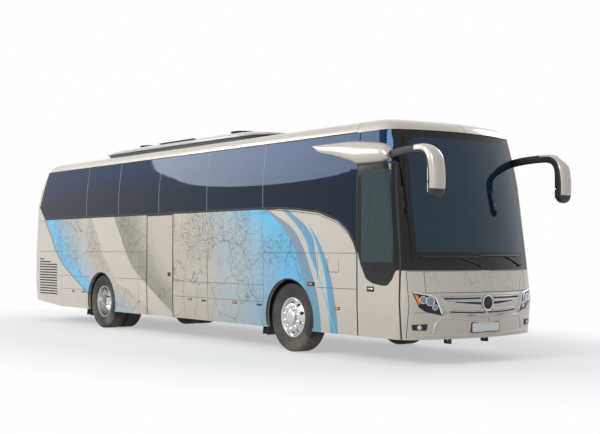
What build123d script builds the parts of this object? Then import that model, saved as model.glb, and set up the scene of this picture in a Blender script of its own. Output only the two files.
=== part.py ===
"""A two-axle high-deck touring coach, built from its panels, frames and running gear.

Millimetres. X points forward, Y to the left, Z up. The origin is on the ground
below the middle of the whole vehicle. Places along X are given from the front axle
and turned into model places by x_at.
"""
from build123d import *
import math
import os

# Overall sizes of the vehicle
front_axle_x = 3140            # front axle ahead of the origin
wheelbase = 6090
nose = 2815                    # front overhang, at the middle of the bumper
tail = 9480                    # rear end behind the front axle
half_width = 1275
skirt_height = 342             # lower edge of the skirts above the ground
belt_height = 1485             # seam below the waist panels
waist_height = 2168            # lower edge of the side glass
roof_line = 3165               # upper edge of the side glass
roof_top = 3370                # crown of the roof skin
wall = 50                      # thickness of walls, doors and flaps
pane = 8                       # thickness of every pane
bed = 0.3                      # adhesive bed behind a curved pane
seam = 6                       # gap between fixed neighbours round a pane
door_gap = 12                  # gap round a swinging door
flap_gap = 10                  # gap between side flaps, half of it beside a fixed panel
lid_gap = 7                    # gap round the front, rear and filler lids
lid_pin = 4                    # hinge pin radii
lid_pin_half = 100
lid_pin_depth = 1              # pin axis below the outer surface
flap_pin = 4
flap_web = 2
pin_gap = 0.3                  # running gap round a hinge pin
reach = 1600                   # half depth of a cutter that passes the whole side

# Plan curves of the body
front_bow = 2950               # radius of the front seen from above
rear_bow = 3600
front_corner = 220
rear_corner = 200

# Body sections: height, half width, nose and tail from the front axle
body_sections = [
    (skirt_height, half_width - 20, nose - 45, tail - 80),
    (816, half_width - 2, nose, tail),
    (1400, half_width, nose - 75, tail - 8),
    (2450, half_width - 3, nose - 232, tail - 90),
    (2800, half_width - 26, nose - 308, tail - 210),
    (roof_line, half_width - 75, nose - 400, tail - 470),
    (3240, half_width - 100, nose - 460, tail - 570),
    (3305, half_width - 165, nose - 590, tail - 720),
    (3350, half_width - 370, nose - 900, tail - 980),
    (roof_top, half_width - 800, nose - 1400, tail - 1380),
]

# Side outline, from the front axle
front_door_rear = 1580
front_door_front = 2425        # at the skirt
front_door_top_front = 2275    # at the top edge, which leans back
front_door_top = 2700
middle_door_front = -3380
middle_door_rear = -4280
front_arch_radius = 575
rear_arch_radius = 560
arch_centre_height = 508
glass_rear = -8985
glass_front = front_door_rear - door_gap
mask_line = front_door_front + door_gap   # seam between the side and the front mask
pillar_top_x = 2150            # rear edge of the windscreen pillar at the roof
corner_seam = 2130             # upper end of the waist panel behind the glass
rear_line = -9020              # seam between the side and the rear shell
screen_bottom = 1400           # lower edge of the windscreen
screen_band = 1255             # lower edge of the black band below it
roof_cap_line = 1500           # seam of the front roof cap

# Glass bays along the side: places of the pillars between them
pillar_places = [-6740, -5390, -3870, -2280, -670]
pillar_width = 90
window_sill = 70               # frame below a window, behind the pane

# Side flaps: name, side, rear end, front end
side_flaps = [
    ("luggage_flap_right_front", -1, -2240, -640),
    ("luggage_flap_right_rear", -1, -3340, -2240),
    ("equipment_flap_right", -1, -7870, -6740),
    ("luggage_flap_left_front", 1, -2240, -640),
    ("luggage_flap_left_middle", 1, -3840, -2240),
    ("luggage_flap_left_rear", 1, -5440, -3840),
    ("equipment_flap_left", 1, -7870, -6740),
]
filler_flap = (930, 1180, 1210, 1400)   # rear, front, bottom, top

# Floors inside
deck_height = 1360             # passenger floor
deck_thickness = 40
deck_front = 1250
hold_floor_height = 430
plate = 25                     # hold floor and bulkheads
cab_floor_height = 900
first_step = 420
liner = 8                      # sheet of the wheel arch liners
leaf_clearance = 6             # floors beside the flaps and the middle door
door_clearance = 50            # floors beside the front door, whose skin bends round the corner

# Wheels
tyre_radius = 516
tyre_width = 295
bead_radius = 298
front_wheel_y = 1072
twin_outer_y = 1080
twin_spacing = 334
kingpin_y = 850
kingpin_radius = 22
hand_holes = 10
hand_hole_circle = 231.5
hand_hole_radius = 24
axle_height = tyre_radius

# Roof unit
pod_rear = -6840
pod_front = -1120
pod_half = 1000
pod_edge = 3440
pod_top = 3580

# Engine behind the rear axle
engine_size = (1300, 899.4, 780)

rear_axle = -wheelbase
engine_centre = (rear_axle - 1860, 0, deck_height - 480)


def x_at(from_axle):
    """Model X of a place given from the front axle."""
    return front_axle_x + from_axle


def plan_section(height, half, front_end, rear_end, inset):
    """Edges round the body at one height: two side lines and six arcs."""
    corners = []
    for end, bow, corner in ((front_end, front_bow, front_corner), (rear_end, rear_bow, rear_corner)):
        bow, end = bow - inset, end - inset
        radius = corner - 0.8 * inset
        centre = end - bow
        corner_y = half - inset - radius
        corner_x = centre + math.sqrt((bow - radius) ** 2 - corner_y ** 2)
        along = math.atan2(corner_x - centre, corner_y)
        corners.append({
            "side": (corner_x, half - inset),
            "bend": (corner_x + radius * math.sin(along / 2), corner_y + radius * math.cos(along / 2)),
            "join": (centre + bow * math.sin(along), bow * math.cos(along)),
            "end": (end, 0.0),
        })
    front, rear = corners

    def at(point, ahead, left):
        return Vector(front_axle_x + ahead * point[0], left * point[1], height)

    ring = [(rear, "side", -1, -1), (front, "side", 1, -1), (front, "bend", 1, -1), (front, "join", 1, -1),
            (front, "end", 1, 1), (front, "join", 1, 1), (front, "bend", 1, 1), (front, "side", 1, 1),
            (rear, "side", -1, 1), (rear, "bend", -1, 1), (rear, "join", -1, 1), (rear, "end", -1, 1),
            (rear, "join", -1, -1), (rear, "bend", -1, -1), (rear, "side", -1, -1)]
    p = [at(group[name], ahead, left) for group, name, ahead, left in ring]
    arcs = [Edge.make_three_point_arc(p[i], p[i + 1], p[i + 2]) for i in (1, 3, 5, 8, 10, 12)]
    return [Edge.make_line(p[0], p[1])] + arcs[:3] + [Edge.make_line(p[7], p[8])] + arcs[3:]


def envelope(inset):
    """The whole outside of the body as one solid, set in by an even thickness.

    Between two heights the sides are plane and the corners, front and rear are ruled.
    """
    rows = []
    for height, half, front_end, rear_end in body_sections:
        drop = inset * max(0, height - roof_line) / (roof_top - roof_line)
        rows.append(plan_section(height - drop, half, front_end, rear_end, inset))
    faces = [Face(Wire(rows[0])), Face(Wire(rows[-1]))]
    for lower, upper in zip(rows, rows[1:]):
        for low_edge, high_edge in zip(lower, upper):
            if low_edge.geom_type == GeomType.LINE:
                faces.append(Face(Wire.make_polygon([low_edge @ 0, low_edge @ 1, high_edge @ 1, high_edge @ 0])))
            else:
                faces.append(Face.make_surface_from_curves(low_edge, high_edge))
    return Solid(Shell(faces))


def side_prism(points, side):
    """Cutter through one side: an outline in X (from the front axle) and Z, from the middle outwards."""
    face = Face(Wire.make_polygon([(x_at(x), 0, z) for x, z in points], close=True))
    return Solid.extrude(face, Vector(0, side * reach, 0))


def side_box(rear, front, bottom, top, side):
    """Cutter through one side between four straight edges."""
    return side_prism([(rear, bottom), (front, bottom), (front, top), (rear, top)], side)


def front_prism(points, near=2000, far=3200):
    """Cutter through the front: an outline in Y and Z, between two places along X."""
    face = Face(Wire.make_polygon([(x_at(near), y, z) for y, z in points], close=True))
    return Solid.extrude(face, Vector(far - near, 0, 0))


def block(x0, x1, y0, y1, z0, z1):
    """A plain box between its corners; X from the front axle."""
    return Pos(x_at((x0 + x1) / 2), (y0 + y1) / 2, (z0 + z1) / 2) * Box(x1 - x0, y1 - y0, z1 - z0)


def rod(start, end, radius):
    """A straight round bar between two places; X from the front axle."""
    a = Vector(x_at(start[0]), start[1], start[2])
    b = Vector(x_at(end[0]), end[1], end[2])
    return Solid.make_cylinder(radius, (b - a).length, Plane(origin=a, z_dir=b - a))


def grown(points, by):
    """An outline in a plane moved outwards by an even distance, or inwards when negative."""
    area = sum(a[0] * b[1] - b[0] * a[1] for a, b in zip(points, points[1:] + points[:1]))
    turn = 1 if area > 0 else -1
    moved = []
    for before, here, after in zip(points[-1:] + points[:-1], points, points[1:] + points[:1]):
        sides = []
        for a, b in ((before, here), (here, after)):
            length = math.hypot(b[0] - a[0], b[1] - a[1])
            sides.append(((b[1] - a[1]) * turn / length, (a[0] - b[0]) * turn / length))
        (ax, az), (bx, bz) = sides
        scale = by / (1 + ax * bx + az * bz)
        moved.append((here[0] + (ax + bx) * scale, here[1] + (az + bz) * scale))
    return moved


def section_at(height, column):
    """A value of the body sections at one height: 1 half width, 2 nose, 3 tail."""
    for lower, upper in zip(body_sections, body_sections[1:]):
        if height <= upper[0]:
            share = (height - lower[0]) / (upper[0] - lower[0])
            return lower[column] + share * (upper[column] - lower[column])
    return body_sections[-1][column]


def both(solid):
    """A piece of the right side with its mirror image on the left."""
    return [solid, solid.mirror(Plane.XZ)]


parts = {}


def keep(name, shapes):
    """Collect the solids of one node."""
    if not isinstance(shapes, (list, tuple)):
        shapes = [shapes]
    solids = []
    for shape in shapes:
        solids += list(shape.solids())
    parts[name] = solids


# Body envelopes at the depths where panels and panes begin and end
outer = envelope(0)
pane_back = envelope(pane)
frame_face = envelope(pane + bed)
inner = envelope(wall)
floor_edge = envelope(wall + bed)


def skin(cutter):
    """Full wall thickness inside a cutter."""
    return (outer & cutter) - inner


def glazing(cutter):
    """Pane thickness inside a cutter."""
    return (outer & cutter) - pane_back


def frame(cutter):
    """The structure behind a pane inside a cutter."""
    return (frame_face & cutter) - inner


# Side outlines
glass_outline = [
    (glass_rear, 2425), (-8720, waist_height), (-655, waist_height), (236, 2134), (712, 2084), (1166, 1951),
    (1400, 1792), (glass_front, belt_height + 12), (glass_front, roof_line), (-8690, roof_line),
]
waist_outline = [
    (rear_line, belt_height), (glass_front, belt_height)] + glass_outline[7:1:-1] + [
    (-8720, waist_height), (-8720, corner_seam), (rear_line, corner_seam),
]
front_door_outline = [
    (front_door_rear, skirt_height), (front_door_front, skirt_height), (front_door_front - 8, screen_bottom),
    (front_door_top_front, front_door_top), (front_door_rear, front_door_top),
]
door_pane_outline = [
    (front_door_rear, 1541), (1650, 1330), (1770, 1130), (1900, 1072), (2080, 1047), (2182, 1047),
    (2280, 1130), (2349, 1250), (front_door_front - 6, 1262), (front_door_front - 8, screen_bottom),
    (front_door_top_front, front_door_top), (front_door_rear, front_door_top),
]
door_window_outline = [(1660, 1360), (2310, 1360), (2310, 1700), (2225, 2620), (1660, 2620)]
pillar_outline = [
    (mask_line, screen_bottom), (4000, screen_bottom), (4000, roof_line), (pillar_top_x, roof_line),
    (front_door_top_front + door_gap, front_door_top),
]
pillar_lean = (front_door_top_front + door_gap - mask_line) / (front_door_top - screen_bottom)
window_belt = belt_height + 12
driver_window_outline = [
    (glass_front + seam, window_belt), (mask_line + pillar_lean * (window_belt - screen_bottom), window_belt),
    (front_door_top_front + door_gap, front_door_top), (pillar_top_x, roof_line), (glass_front + seam, roof_line),
]
transom_outline = [
    (glass_front + seam, front_door_top + door_gap), (front_door_top_front + 8, front_door_top + door_gap),
    (pillar_top_x, roof_line), (glass_front + seam, roof_line),
]
screen_outline = [
    (-1120, screen_bottom + 4), (1120, screen_bottom + 4), (1125, 2250), (1085, 2850), (1045, 3060), (960, 3150),
    (-960, 3150), (-1045, 3060), (-1085, 2850), (-1125, 2250),
]
bonnet_outline = [(-985, 956), (985, 956), (985, screen_band - 4), (-985, screen_band - 4)]
bonnet_hinge_height = screen_band - 4 - lid_gap
lamp_outline = [(-1168, 985), (-1030, 960), (-864, 926), (-741, 656), (-900, 690), (-1002, 716), (-1088, 774)]
grille_outline = [
    (-820, 925), (820, 925), (700, 690), (300, 640), (0, 622), (-300, 640), (-700, 690),
]
rear_window_outline = [
    (-940, 2250), (940, 2250), (1000, 2320), (960, 2900), (880, 2990), (-880, 2990), (-960, 2900), (-1000, 2320),
]
engine_lid_outline = [(-960, 700), (960, 700), (960, 2020), (-960, 2020)]
lid_hinge_height = 2020 - lid_gap
tail_lamp_outline = [(1010, 1000), (1170, 1000), (1170, 1900), (1010, 1900)]
louvre_outline = [
    (-8980, 625), (-8930, 560), (-8860, 540), (-8130, 505), (-8070, 535), (-8050, 600), (-8050, 1180),
    (-8100, 1250), (-8200, 1285), (-8860, 1365), (-8930, 1350), (-8980, 1300),
]
slat_pitch = 56
slat_slot = 26
slot_depth = 22
disc_radius = 100              # plain round boss in the middle of the grille
disc_height = 816


grille_slot = [(-560, 832), (-120, 792), (-120, 824), (-560, 856)]
grille_step = [(-720, 868), (-130, 870), (-130, 890), (-740, 896)]


def envelope_front(depth):
    """Everything behind a bowed surface a little below the front face."""
    centre = Pos(x_at(nose - front_bow), 0, 800)
    return centre * Cylinder(front_bow - depth, 1200)


def arch(axle, radius, side):
    """Cutter for a round wheel arch."""
    return Pos(x_at(axle), side * reach / 2, arch_centre_height) * Rot(90, 0, 0) * Cylinder(radius, reach)


def rear_prism(points, near=-9700, far=-8300):
    """Cutter through the rear: an outline in Y and Z."""
    return front_prism(points, near, far)


def departure(side):
    """Cutter below the rear overhang, where the lower edge rises towards the rear end."""
    return side_prism([(-7870, 300), (-9700, 300), (-9700, 480), (-9480, 468), (-7870, skirt_height)], side)


def louvre_panel(side):
    """Louvred panel of the engine space with level slots between its slats."""
    panel = skin(side_prism(grown(louvre_outline, -bed), side))
    y0, y1 = sorted((side * (half_width - slot_depth), side * 1400))
    level = 580
    while level < 1330:
        front_end = -8085 if level < 1200 else -8085 - (level - 1200) * 6
        panel = panel - block(-8955, front_end, y0, y1, level, level + slat_slot)
        level += slat_pitch
    return panel


def side_panels(side):
    """Fixed panels of one side: waist and skirts below the glass."""
    waist = side_prism(waist_outline, side)
    cutters = [side_box(flap_rear, flap_front, skirt_height - 50, belt_height, side)
               for _, flap_side, flap_rear, flap_front in side_flaps if flap_side == side]
    cutters += [arch(0, front_arch_radius, side), arch(rear_axle, rear_arch_radius, side)]
    front_end = glass_front if side < 0 else mask_line
    if side < 0:
        door = side_box(middle_door_rear - door_gap, middle_door_front + door_gap,
                        skirt_height - 50, waist_height - 20, side)
        cutters += [door, side_box(*filler_flap, side)]
        lintel = side_box(middle_door_rear - door_gap, middle_door_front + door_gap,
                          waist_height - 20, waist_height, side)
        behind = side_box(rear_line - 50, middle_door_rear - door_gap, belt_height - 50, 2500, side)
    skirt = side_box(rear_line, front_end, skirt_height - 10, belt_height, side)
    cutters += [side_prism(louvre_outline, side), side_prism(pillar_outline, side), departure(side)]
    for cutter in cutters:
        skirt = skirt - cutter
    waist_skin, skirt_skin = skin(waist), skin(skirt)
    if side < 0:
        rest = waist_skin - door
        pieces = [waist_skin & lintel, rest & behind, rest - behind - lintel]
    else:
        pieces = [waist_skin]
    for _, flap_side, flap_rear, flap_front in side_flaps:
        if flap_side == side:
            hinge = flap_hinge(flap_rear, flap_front, belt_height - flap_gap, side, flap_gap)[0]
            carrier = 1 if side < 0 and flap_front < middle_door_rear else len(pieces) - 1
            pieces[carrier] = pieces[carrier].fuse(hinge)
    if side < 0:
        rear_end, front_end, _, top = filler_flap
        skirt_skin = skirt_skin.fuse(flap_hinge(rear_end, front_end, top - flap_gap, side, flap_gap)[0])
    return pieces, [skirt_skin]


def framed(outline, depth, side):
    """The structure behind the rim of a pane: one rail along each edge of its outline, mitred."""
    body = frame(side_prism(outline, side))
    within = grown(outline, -depth)
    rails = []
    for a, b, c, d in zip(outline, outline[1:] + outline[:1], within[1:] + within[:1], within):
        rails.append(body & side_prism([a, b, c, d], side))
    return body, rails


def side_glass(side):
    """Panes of one side and the pillars behind them."""
    front_outline = transom_outline if side < 0 else driver_window_outline
    body, rails = framed(glass_outline, window_sill, side)
    inside = side_prism(grown(glass_outline, -window_sill), side)
    for place in pillar_places:
        pillar = side_box(place - pillar_width / 2, place + pillar_width / 2, 1000, 4000, side)
        rails.append((body & inside) & pillar)
    rails += framed(front_outline, 55, side)[1]
    panes = glazing(side_prism(grown(glass_outline, -seam / 2), side))
    for place in pillar_places:
        panes = panes - side_box(place - seam / 2, place + seam / 2, 1000, 4000, side)
    front_pane = glazing(side_prism(grown(front_outline, -seam / 2), side))
    return rails, [panes, front_pane]


def lid_hinge(x, height):
    """Pin of a lid along the width, on a short web below the fixed edge, and the cutter that clears it."""
    pin = rod((x, -lid_pin_half, height), (x, lid_pin_half, height), lid_pin)
    web = block(x - 2, x + 2, -lid_pin_half, lid_pin_half, height, height + lid_gap + 3)
    room = rod((x, -lid_pin_half - 2, height), (x, lid_pin_half + 2, height), lid_pin + pin_gap)
    return pin.fuse(web), room


def flap_hinge(rear_end, front_end, top, side, gap):
    """Pin of a side flap along its upper edge, on a web below the fixed panel, and its cutter."""
    y = side * (section_at(top, 1) - flap_pin)
    start, end = (rear_end + 2 * gap, y, top), (front_end - 2 * gap, y, top)
    pin = rod(start, end, flap_pin)
    web = block(start[0], end[0], y - flap_web / 2, y + flap_web / 2, top, top + gap)
    room = rod((start[0] - 2, y, top), (end[0] + 2, y, top), flap_pin + pin_gap)
    return pin.fuse(web), room


def roof_and_ends():
    """Roof skins, rear shell, front mask and windscreen frame."""
    above = block(-12000, 6000, -2000, 2000, roof_line, roof_top + 50)
    keep("roof_skin", skin(above & block(-8690, roof_cap_line, -2000, 2000, 3000, 3500)))
    keep("roof_front_cap", skin(above & block(roof_cap_line, 4000, -2000, 2000, 3000, 3500)))
    rear_outline = [
        (-9700, skirt_height - 10), (rear_line, skirt_height - 10), (rear_line, corner_seam), (-8720, corner_seam),
        (-8720, waist_height), (glass_rear, 2425), (-8690, roof_line), (-8690, 3500), (-9700, 3500),
    ]
    rear = side_prism(rear_outline, -1).fuse(side_prism(rear_outline, 1))
    bare = outer & rear
    opening = rear_prism(grown(rear_window_outline, seam))
    shell = (bare - opening) - inner - departure(-1) - departure(1)
    rebate = frame(rear & opening) - rear_prism(grown(rear_window_outline, -60))
    shell = shell.fuse(rebate) - rear_prism(engine_lid_outline)
    for lamp in both(rear_prism(tail_lamp_outline)):
        shell = shell - lamp
    pin, room = lid_hinge(lid_pin_depth - section_at(lid_hinge_height, 3), lid_hinge_height)
    keep("rear_shell", shell.fuse(pin))
    keep("rear_window", glazing(rear_prism(rear_window_outline)))
    keep("engine_lid", skin(rear_prism(grown(engine_lid_outline, -lid_gap))) - room)
    keep("tail_lamps", [skin(lamp) for lamp in both(rear_prism(grown(tail_lamp_outline, -bed)))])

    mask = block(mask_line, 4000, -2000, 2000, skirt_height - 10, screen_band)
    mask = skin(mask) - front_prism(bonnet_outline) - front_prism(grille_outline)
    for lamp in both(front_prism(lamp_outline)):
        mask = mask - lamp
    pin, room = lid_hinge(section_at(bonnet_hinge_height, 2) - lid_pin_depth, bonnet_hinge_height)
    keep("bonnet_flap", glazing(front_prism(grown(bonnet_outline, -lid_gap))) - room)
    keep("front_mask", mask.fuse(pin))
    grille = skin(front_prism(grown(grille_outline, -bed)))
    depths = [(nose - 18, grille_slot), (nose - 12, grille_step)]
    for depth, points in depths:
        for cutter in both(front_prism(points, 2300, 3200)):
            grille = grille - (cutter - envelope_front(nose - depth))
    boss = rod((nose - 40, 0, disc_height), (nose + 9, 0, disc_height), disc_radius)
    keep("grille", grille.fuse(boss))
    keep("headlamps", [skin(lamp) for lamp in both(front_prism(grown(lamp_outline, -bed)))])
    region = side_prism(pillar_outline, -1).fuse(side_prism(pillar_outline, 1))
    opening = front_prism(grown(screen_outline, seam))
    surround = skin(region - opening).fuse(frame(region & opening) - front_prism(grown(screen_outline, -60)))
    scuttle = skin(block(mask_line, 4000, -2000, 2000, screen_band, screen_bottom))
    cuts = [(-2000, -700), (-700, 700), (700, 2000)]
    pieces = [scuttle & block(0, 4000, y0, y1, 1000, 3000) for y0, y1 in cuts]
    for z0, z1 in ((screen_bottom, front_door_top), (front_door_top, 3400)):
        pieces += [surround & block(0, 4000, y0, y1, z0, z1) for y0, y1 in cuts]
    keep("screen_frame", pieces)
    keep("windscreen", glazing(front_prism(screen_outline)))


def doors_and_flaps():
    """Leaves of the two doors with their arms, and the side flaps."""
    leaf_outline = grown(front_door_outline, -0.01)
    leaf = side_prism(leaf_outline, -1)
    pane_cut = side_prism(grown(door_pane_outline, seam), -1) & leaf
    leaf_frame = skin(leaf - pane_cut).fuse(frame(leaf & pane_cut))
    leaf_frame = leaf_frame - side_prism(door_window_outline, -1)
    sill, head, post = 1360, 2620, 1660
    pieces = [leaf_frame & block(0, 4000, -2000, 0, 0, sill), leaf_frame & block(0, post, -2000, 0, sill, 4000),
              leaf_frame & block(post, 4000, -2000, 0, sill, head),
              leaf_frame & block(post, 4000, -2000, 0, head, 4000)]
    keep("front_door", pieces + leaf_brackets(door_post_x - door_arm_length, front_arm_heights))
    keep("front_door_glass", glazing(side_prism(grown(door_pane_outline, -2), -1)))
    middle_leaf = skin(side_box(middle_door_rear, middle_door_front, skirt_height + 4,
                                waist_height - 20 - door_gap, -1))
    keep("middle_door", [middle_leaf] + leaf_brackets(middle_post_x + door_arm_length, middle_arm_heights))
    for name, side, rear_end, front_end in side_flaps:
        leaf = skin(side_box(rear_end + flap_gap / 2, front_end - flap_gap / 2, skirt_height + 4,
                             belt_height - flap_gap, side))
        keep(name, leaf - flap_hinge(rear_end, front_end, belt_height - flap_gap, side, flap_gap)[1])
    rear_end, front_end, bottom, top = filler_flap
    lid = skin(side_box(rear_end + lid_gap, front_end - lid_gap, bottom + lid_gap, top - flap_gap, -1))
    keep("filler_flap", lid - flap_hinge(rear_end, front_end, top - flap_gap, -1, flap_gap)[1])
    keep("side_louvres", [louvre_panel(side) for side in (-1, 1)])


door_post_x = front_door_front - 65
door_post_y = -1115
door_arm_length = 620
front_arm_heights = (1000, 1290)
middle_arm_heights = (700, 1240)
middle_post_x = middle_door_rear + 60
arm_thickness = 30
arm_depth = 40
post_radius = 22
foot_gap = 0.3                 # running gap below a post


def door_arm(post_x, toward, heights, bottom, top):
    """A vertical post with two level arms that reach the leaf."""
    post = rod((post_x, door_post_y, bottom), (post_x, door_post_y, top), post_radius)
    far = post_x + toward * door_arm_length
    for height in heights:
        arm = block(min(post_x, far), max(post_x, far), door_post_y - arm_thickness / 2,
                    door_post_y + arm_thickness / 2, height, height + arm_depth)
        eye = rod((far, door_post_y, height), (far, door_post_y, height + arm_depth), post_radius)
        post = post.fuse(arm).fuse(eye)
    return post


def leaf_brackets(x, heights):
    """Lugs on a leaf above and below the eyes of its arms, reaching in from the wall."""
    lugs = []
    for height in heights:
        for level in (height - 12.3, height + arm_depth + 0.3):
            lugs.append(block(x - 25, x + 25, -half_width, door_post_y + 25, level, level + 12) & floor_edge)
    return lugs


def stairs(rear_end, front_end, count, top_height, last_riser):
    """Treads and risers from the first step up to a floor, from the door inwards, face to face."""
    rise = (top_height - first_step) / count
    flight = []
    for index in range(count):
        level = first_step + rise * index
        edge = -1190 + 210 * index
        flight.append(block(rear_end, front_end, edge, edge + 210, level - 30, level))
        if index < count - 1 or last_riser:
            top = top_height - deck_thickness if index == count - 1 else level + rise - 30
            flight.append(block(rear_end, front_end, edge + 210, edge + 210 + plate, level - 30, top))
    return flight


def off_the_leaves(board):
    """A board cut back where a flap or a door leaf closes beside it."""
    leaves = [(side, rear_end, front_end, leaf_clearance) for _, side, rear_end, front_end in side_flaps]
    leaves.append((-1, front_door_rear - 30, mask_line, door_clearance))
    for side, rear_end, front_end, clearance in leaves:
        y0, y1 = sorted((side * (half_width - wall - clearance), side * 1500))
        board = board - block(rear_end, front_end, y0, y1, 300, belt_height)
    return board & floor_edge


def floors():
    """Passenger deck over the luggage hold, cockpit floor with its steps, wheel arch liners."""
    well_rear, well_front = middle_door_rear - 35, middle_door_front + 20
    wall_top = deck_height - deck_thickness
    hold_top = hold_floor_height + plate
    boards = [
        block(-8900, well_rear, -1400, 1400, wall_top, deck_height),
        block(well_rear, well_front, -560, 1400, wall_top, deck_height),
        block(well_front, deck_front, -1400, 1400, wall_top, deck_height),
        block(-5440, well_rear - plate, -1205, 1205, hold_floor_height, hold_top),
        block(well_rear, well_front, plate - 560, 1205, hold_floor_height, hold_top),
        block(well_front + plate, -700, -1205, 1205, hold_floor_height, hold_top),
        block(-5440, plate - 5440, -1205, 1205, hold_top, wall_top),
        block(well_rear - plate, well_rear, -1205, 1205, 390, wall_top),
        block(well_rear, well_front, -560, plate - 560, 390, wall_top),
        block(well_front, well_front + plate, -1205, 1205, 390, wall_top),
        block(-700 - plate, -700, -1205, 1205, hold_top, wall_top),
        block(well_rear, middle_post_x + 40, door_post_y - 40, door_post_y + 40, 395, first_step),
    ]
    boards += stairs(middle_post_x + 60, well_front, 3, deck_height, False)
    keep("floor_structure", [off_the_leaves(board) for board in boards])

    cab_bottom = cab_floor_height - deck_thickness
    boards = [
        block(deck_front + bed, 1600, -1400, 1400, cab_bottom, cab_floor_height),
        block(1600, 2320, -770, 1400, cab_bottom, cab_floor_height),
        block(2320, mask_line, -1400, 1400, cab_bottom, cab_floor_height),
        block(mask_line, 2700, -1400, 1400, cab_bottom, cab_floor_height),
        block(deck_front + bed, deck_front + plate, -1400, 1400, cab_floor_height, deck_height),
    ]
    boards += stairs(1600, 2320, 2, cab_floor_height, True)
    keep("cockpit_floor", [off_the_leaves(board) for board in boards])

    liners = []
    for axle, half, inner_y, top_height in ((0, 655, 430, 1120), (rear_axle, 600, 570, 1120)):
        for side in (-1, 1):
            y0, y1 = sorted((side * inner_y, side * 1300))
            shell = block(axle - half, axle + half, y0, y1, 480, top_height)
            shell = shell - block(axle - half + liner, axle + half - liner, -1400, 1400, 400, top_height - liner)
            y0, y1 = sorted((side * 1190, side * 1400))
            shell = (shell & floor_edge) - block(axle - half - 5, axle - half + 35, y0, y1, 400, 1500)
            flap_y0, flap_y1 = sorted((side * (inner_y + 250), side * 1190))
            flap = block(axle - half - 10, axle - half, flap_y0, flap_y1, 210, 560)
            liners.append(shell.fuse(flap))
    keep("wheel_arch_liners", liners)


front_rail_bottom = 640
rear_rail_bottom = 860
air_spring = 75
towing_bore = 20
towing_plate = 30
towing_height_front = 300
towing_height_rear = 390
jack_pad_front = 560
jack_pad_rear = 640


def towing_lug(x, y, height, top):
    """A plate hanging from a rail with a cross bore for a shackle pin."""
    lug = block(x - 60, x + 60, y - towing_plate / 2, y + towing_plate / 2, height - 50, top)
    return lug - rod((x, y - towing_plate, height), (x, y + towing_plate, height), towing_bore)


def underframe():
    """Rails and cross members with lugs and pads, face to face, and the engine block."""
    front = []
    for side in (-1, 1):
        y0, y1 = sorted((side * 330, side * 400))
        front.append(block(bed - 700, nose - 255, y0, y1, front_rail_bottom, 840))
        front.append(towing_lug(nose - 395, side * 365, towing_height_front, front_rail_bottom))
        front.append(block(700, 820, side * 365 - 60, side * 365 + 60, jack_pad_front, front_rail_bottom))
    for place in (-600, 600, 1300, nose - 415):
        front.append(block(place, place + 80, -330, 330, 680, 800))
    rear = []
    for side in (-1, 1):
        y0, y1 = sorted((side * 450, side * 520))
        rear.append(block(180 - tail, -5440 - bed, y0, y1, rear_rail_bottom, 1040))
        rear.append(towing_lug(240 - tail, side * 485, towing_height_rear, rear_rail_bottom))
        rear.append(block(rear_axle - 790, rear_axle - 670, side * 485 - 60, side * 485 + 60, jack_pad_rear, rear_rail_bottom))
    for place in (rear_axle + 550, rear_axle - 810, 280 - tail):
        rear.append(block(place, place + 80, -450, 450, 880, 1000))
    keep("underframe", front + rear)
    sx, sy, sz = engine_size
    cx, cy, cz = engine_centre
    keep("engine_block", block(cx - sx / 2, cx + sx / 2, cy - sy / 2, cy + sy / 2, cz - sz / 2, cz + sz / 2))


def revolved(points, y_centre, outward, axle):
    """A ring turned about an axle from a profile of radius and outward distance."""
    path = [(x_at(axle) + radius, y_centre + outward * across, axle_height) for radius, across in points]
    face = Face(Wire.make_polygon(path, close=True))
    axis = Axis((x_at(axle), 0, axle_height), (0, 1, 0))
    return Solid.revolve(face, 360, axis)


disc_offset = 150              # mounting face of a disc from the rim's middle
flange = 115
tyre_gap = 0.5
hub_face = 60                  # inner end of a front hub from the rim's middle
disc = 18
barrel = [(298, -flange), (298, -107), (289, -100), (272, -50), (272, 30), (289, 100), (298, 107), (298, flange),
          (284, flange)]
dish_out = [(262, 88), (238, disc_offset - 40), (205, disc_offset - 6), (190, disc_offset)]
dish_in = [(184, disc_offset - disc), (226, disc_offset - 56), (254, 60), (262, -30), (278, -98), (284, -flange)]
front_hub = [(118, disc_offset), (118, disc_offset + 18), (90, disc_offset + 34), (60, disc_offset + 38),
             (0, disc_offset + 38), (0, hub_face), (118, hub_face), (118, disc_offset - disc)]
front_rim_profile = barrel + dish_out + front_hub + dish_in


def tyre(y_centre, axle):
    """One tyre as a ring: beads, bulged walls, rounded shoulders and a flat tread."""
    half = tyre_width / 2
    base = bead_radius - 9 + tyre_gap

    def at(radius, across):
        return Vector(x_at(axle) + radius, y_centre + across, axle_height)

    edges = []
    right = [at(base, -100 + tyre_gap), at(bead_radius + 2, -105), at(bead_radius + 2, -118)]
    left = [at(base, 100 - tyre_gap), at(bead_radius + 2, 105), at(bead_radius + 2, 118)]
    shoulder = [at(tyre_radius - 34, half - 8), at(tyre_radius - 9, half - 16), at(tyre_radius, half - 34)]
    shoulder_r = [at(tyre_radius - 34, 8 - half), at(tyre_radius - 9, 16 - half), at(tyre_radius, 34 - half)]
    edges.append(Edge.make_line(right[0], left[0]))
    edges.append(Edge.make_line(left[0], left[1]))
    edges.append(Edge.make_line(left[1], left[2]))
    edges.append(Edge.make_three_point_arc(left[2], at(395, half), shoulder[0]))
    edges.append(Edge.make_three_point_arc(*shoulder))
    edges.append(Edge.make_line(shoulder[2], shoulder_r[2]))
    edges.append(Edge.make_three_point_arc(shoulder_r[2], shoulder_r[1], shoulder_r[0]))
    edges.append(Edge.make_three_point_arc(shoulder_r[0], at(395, -half), right[2]))
    edges.append(Edge.make_line(right[2], right[1]))
    edges.append(Edge.make_line(right[1], right[0]))
    axis = Axis((x_at(axle), 0, axle_height), (0, 1, 0))
    return Solid.revolve(Face(Wire(edges)), 360, axis)


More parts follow.
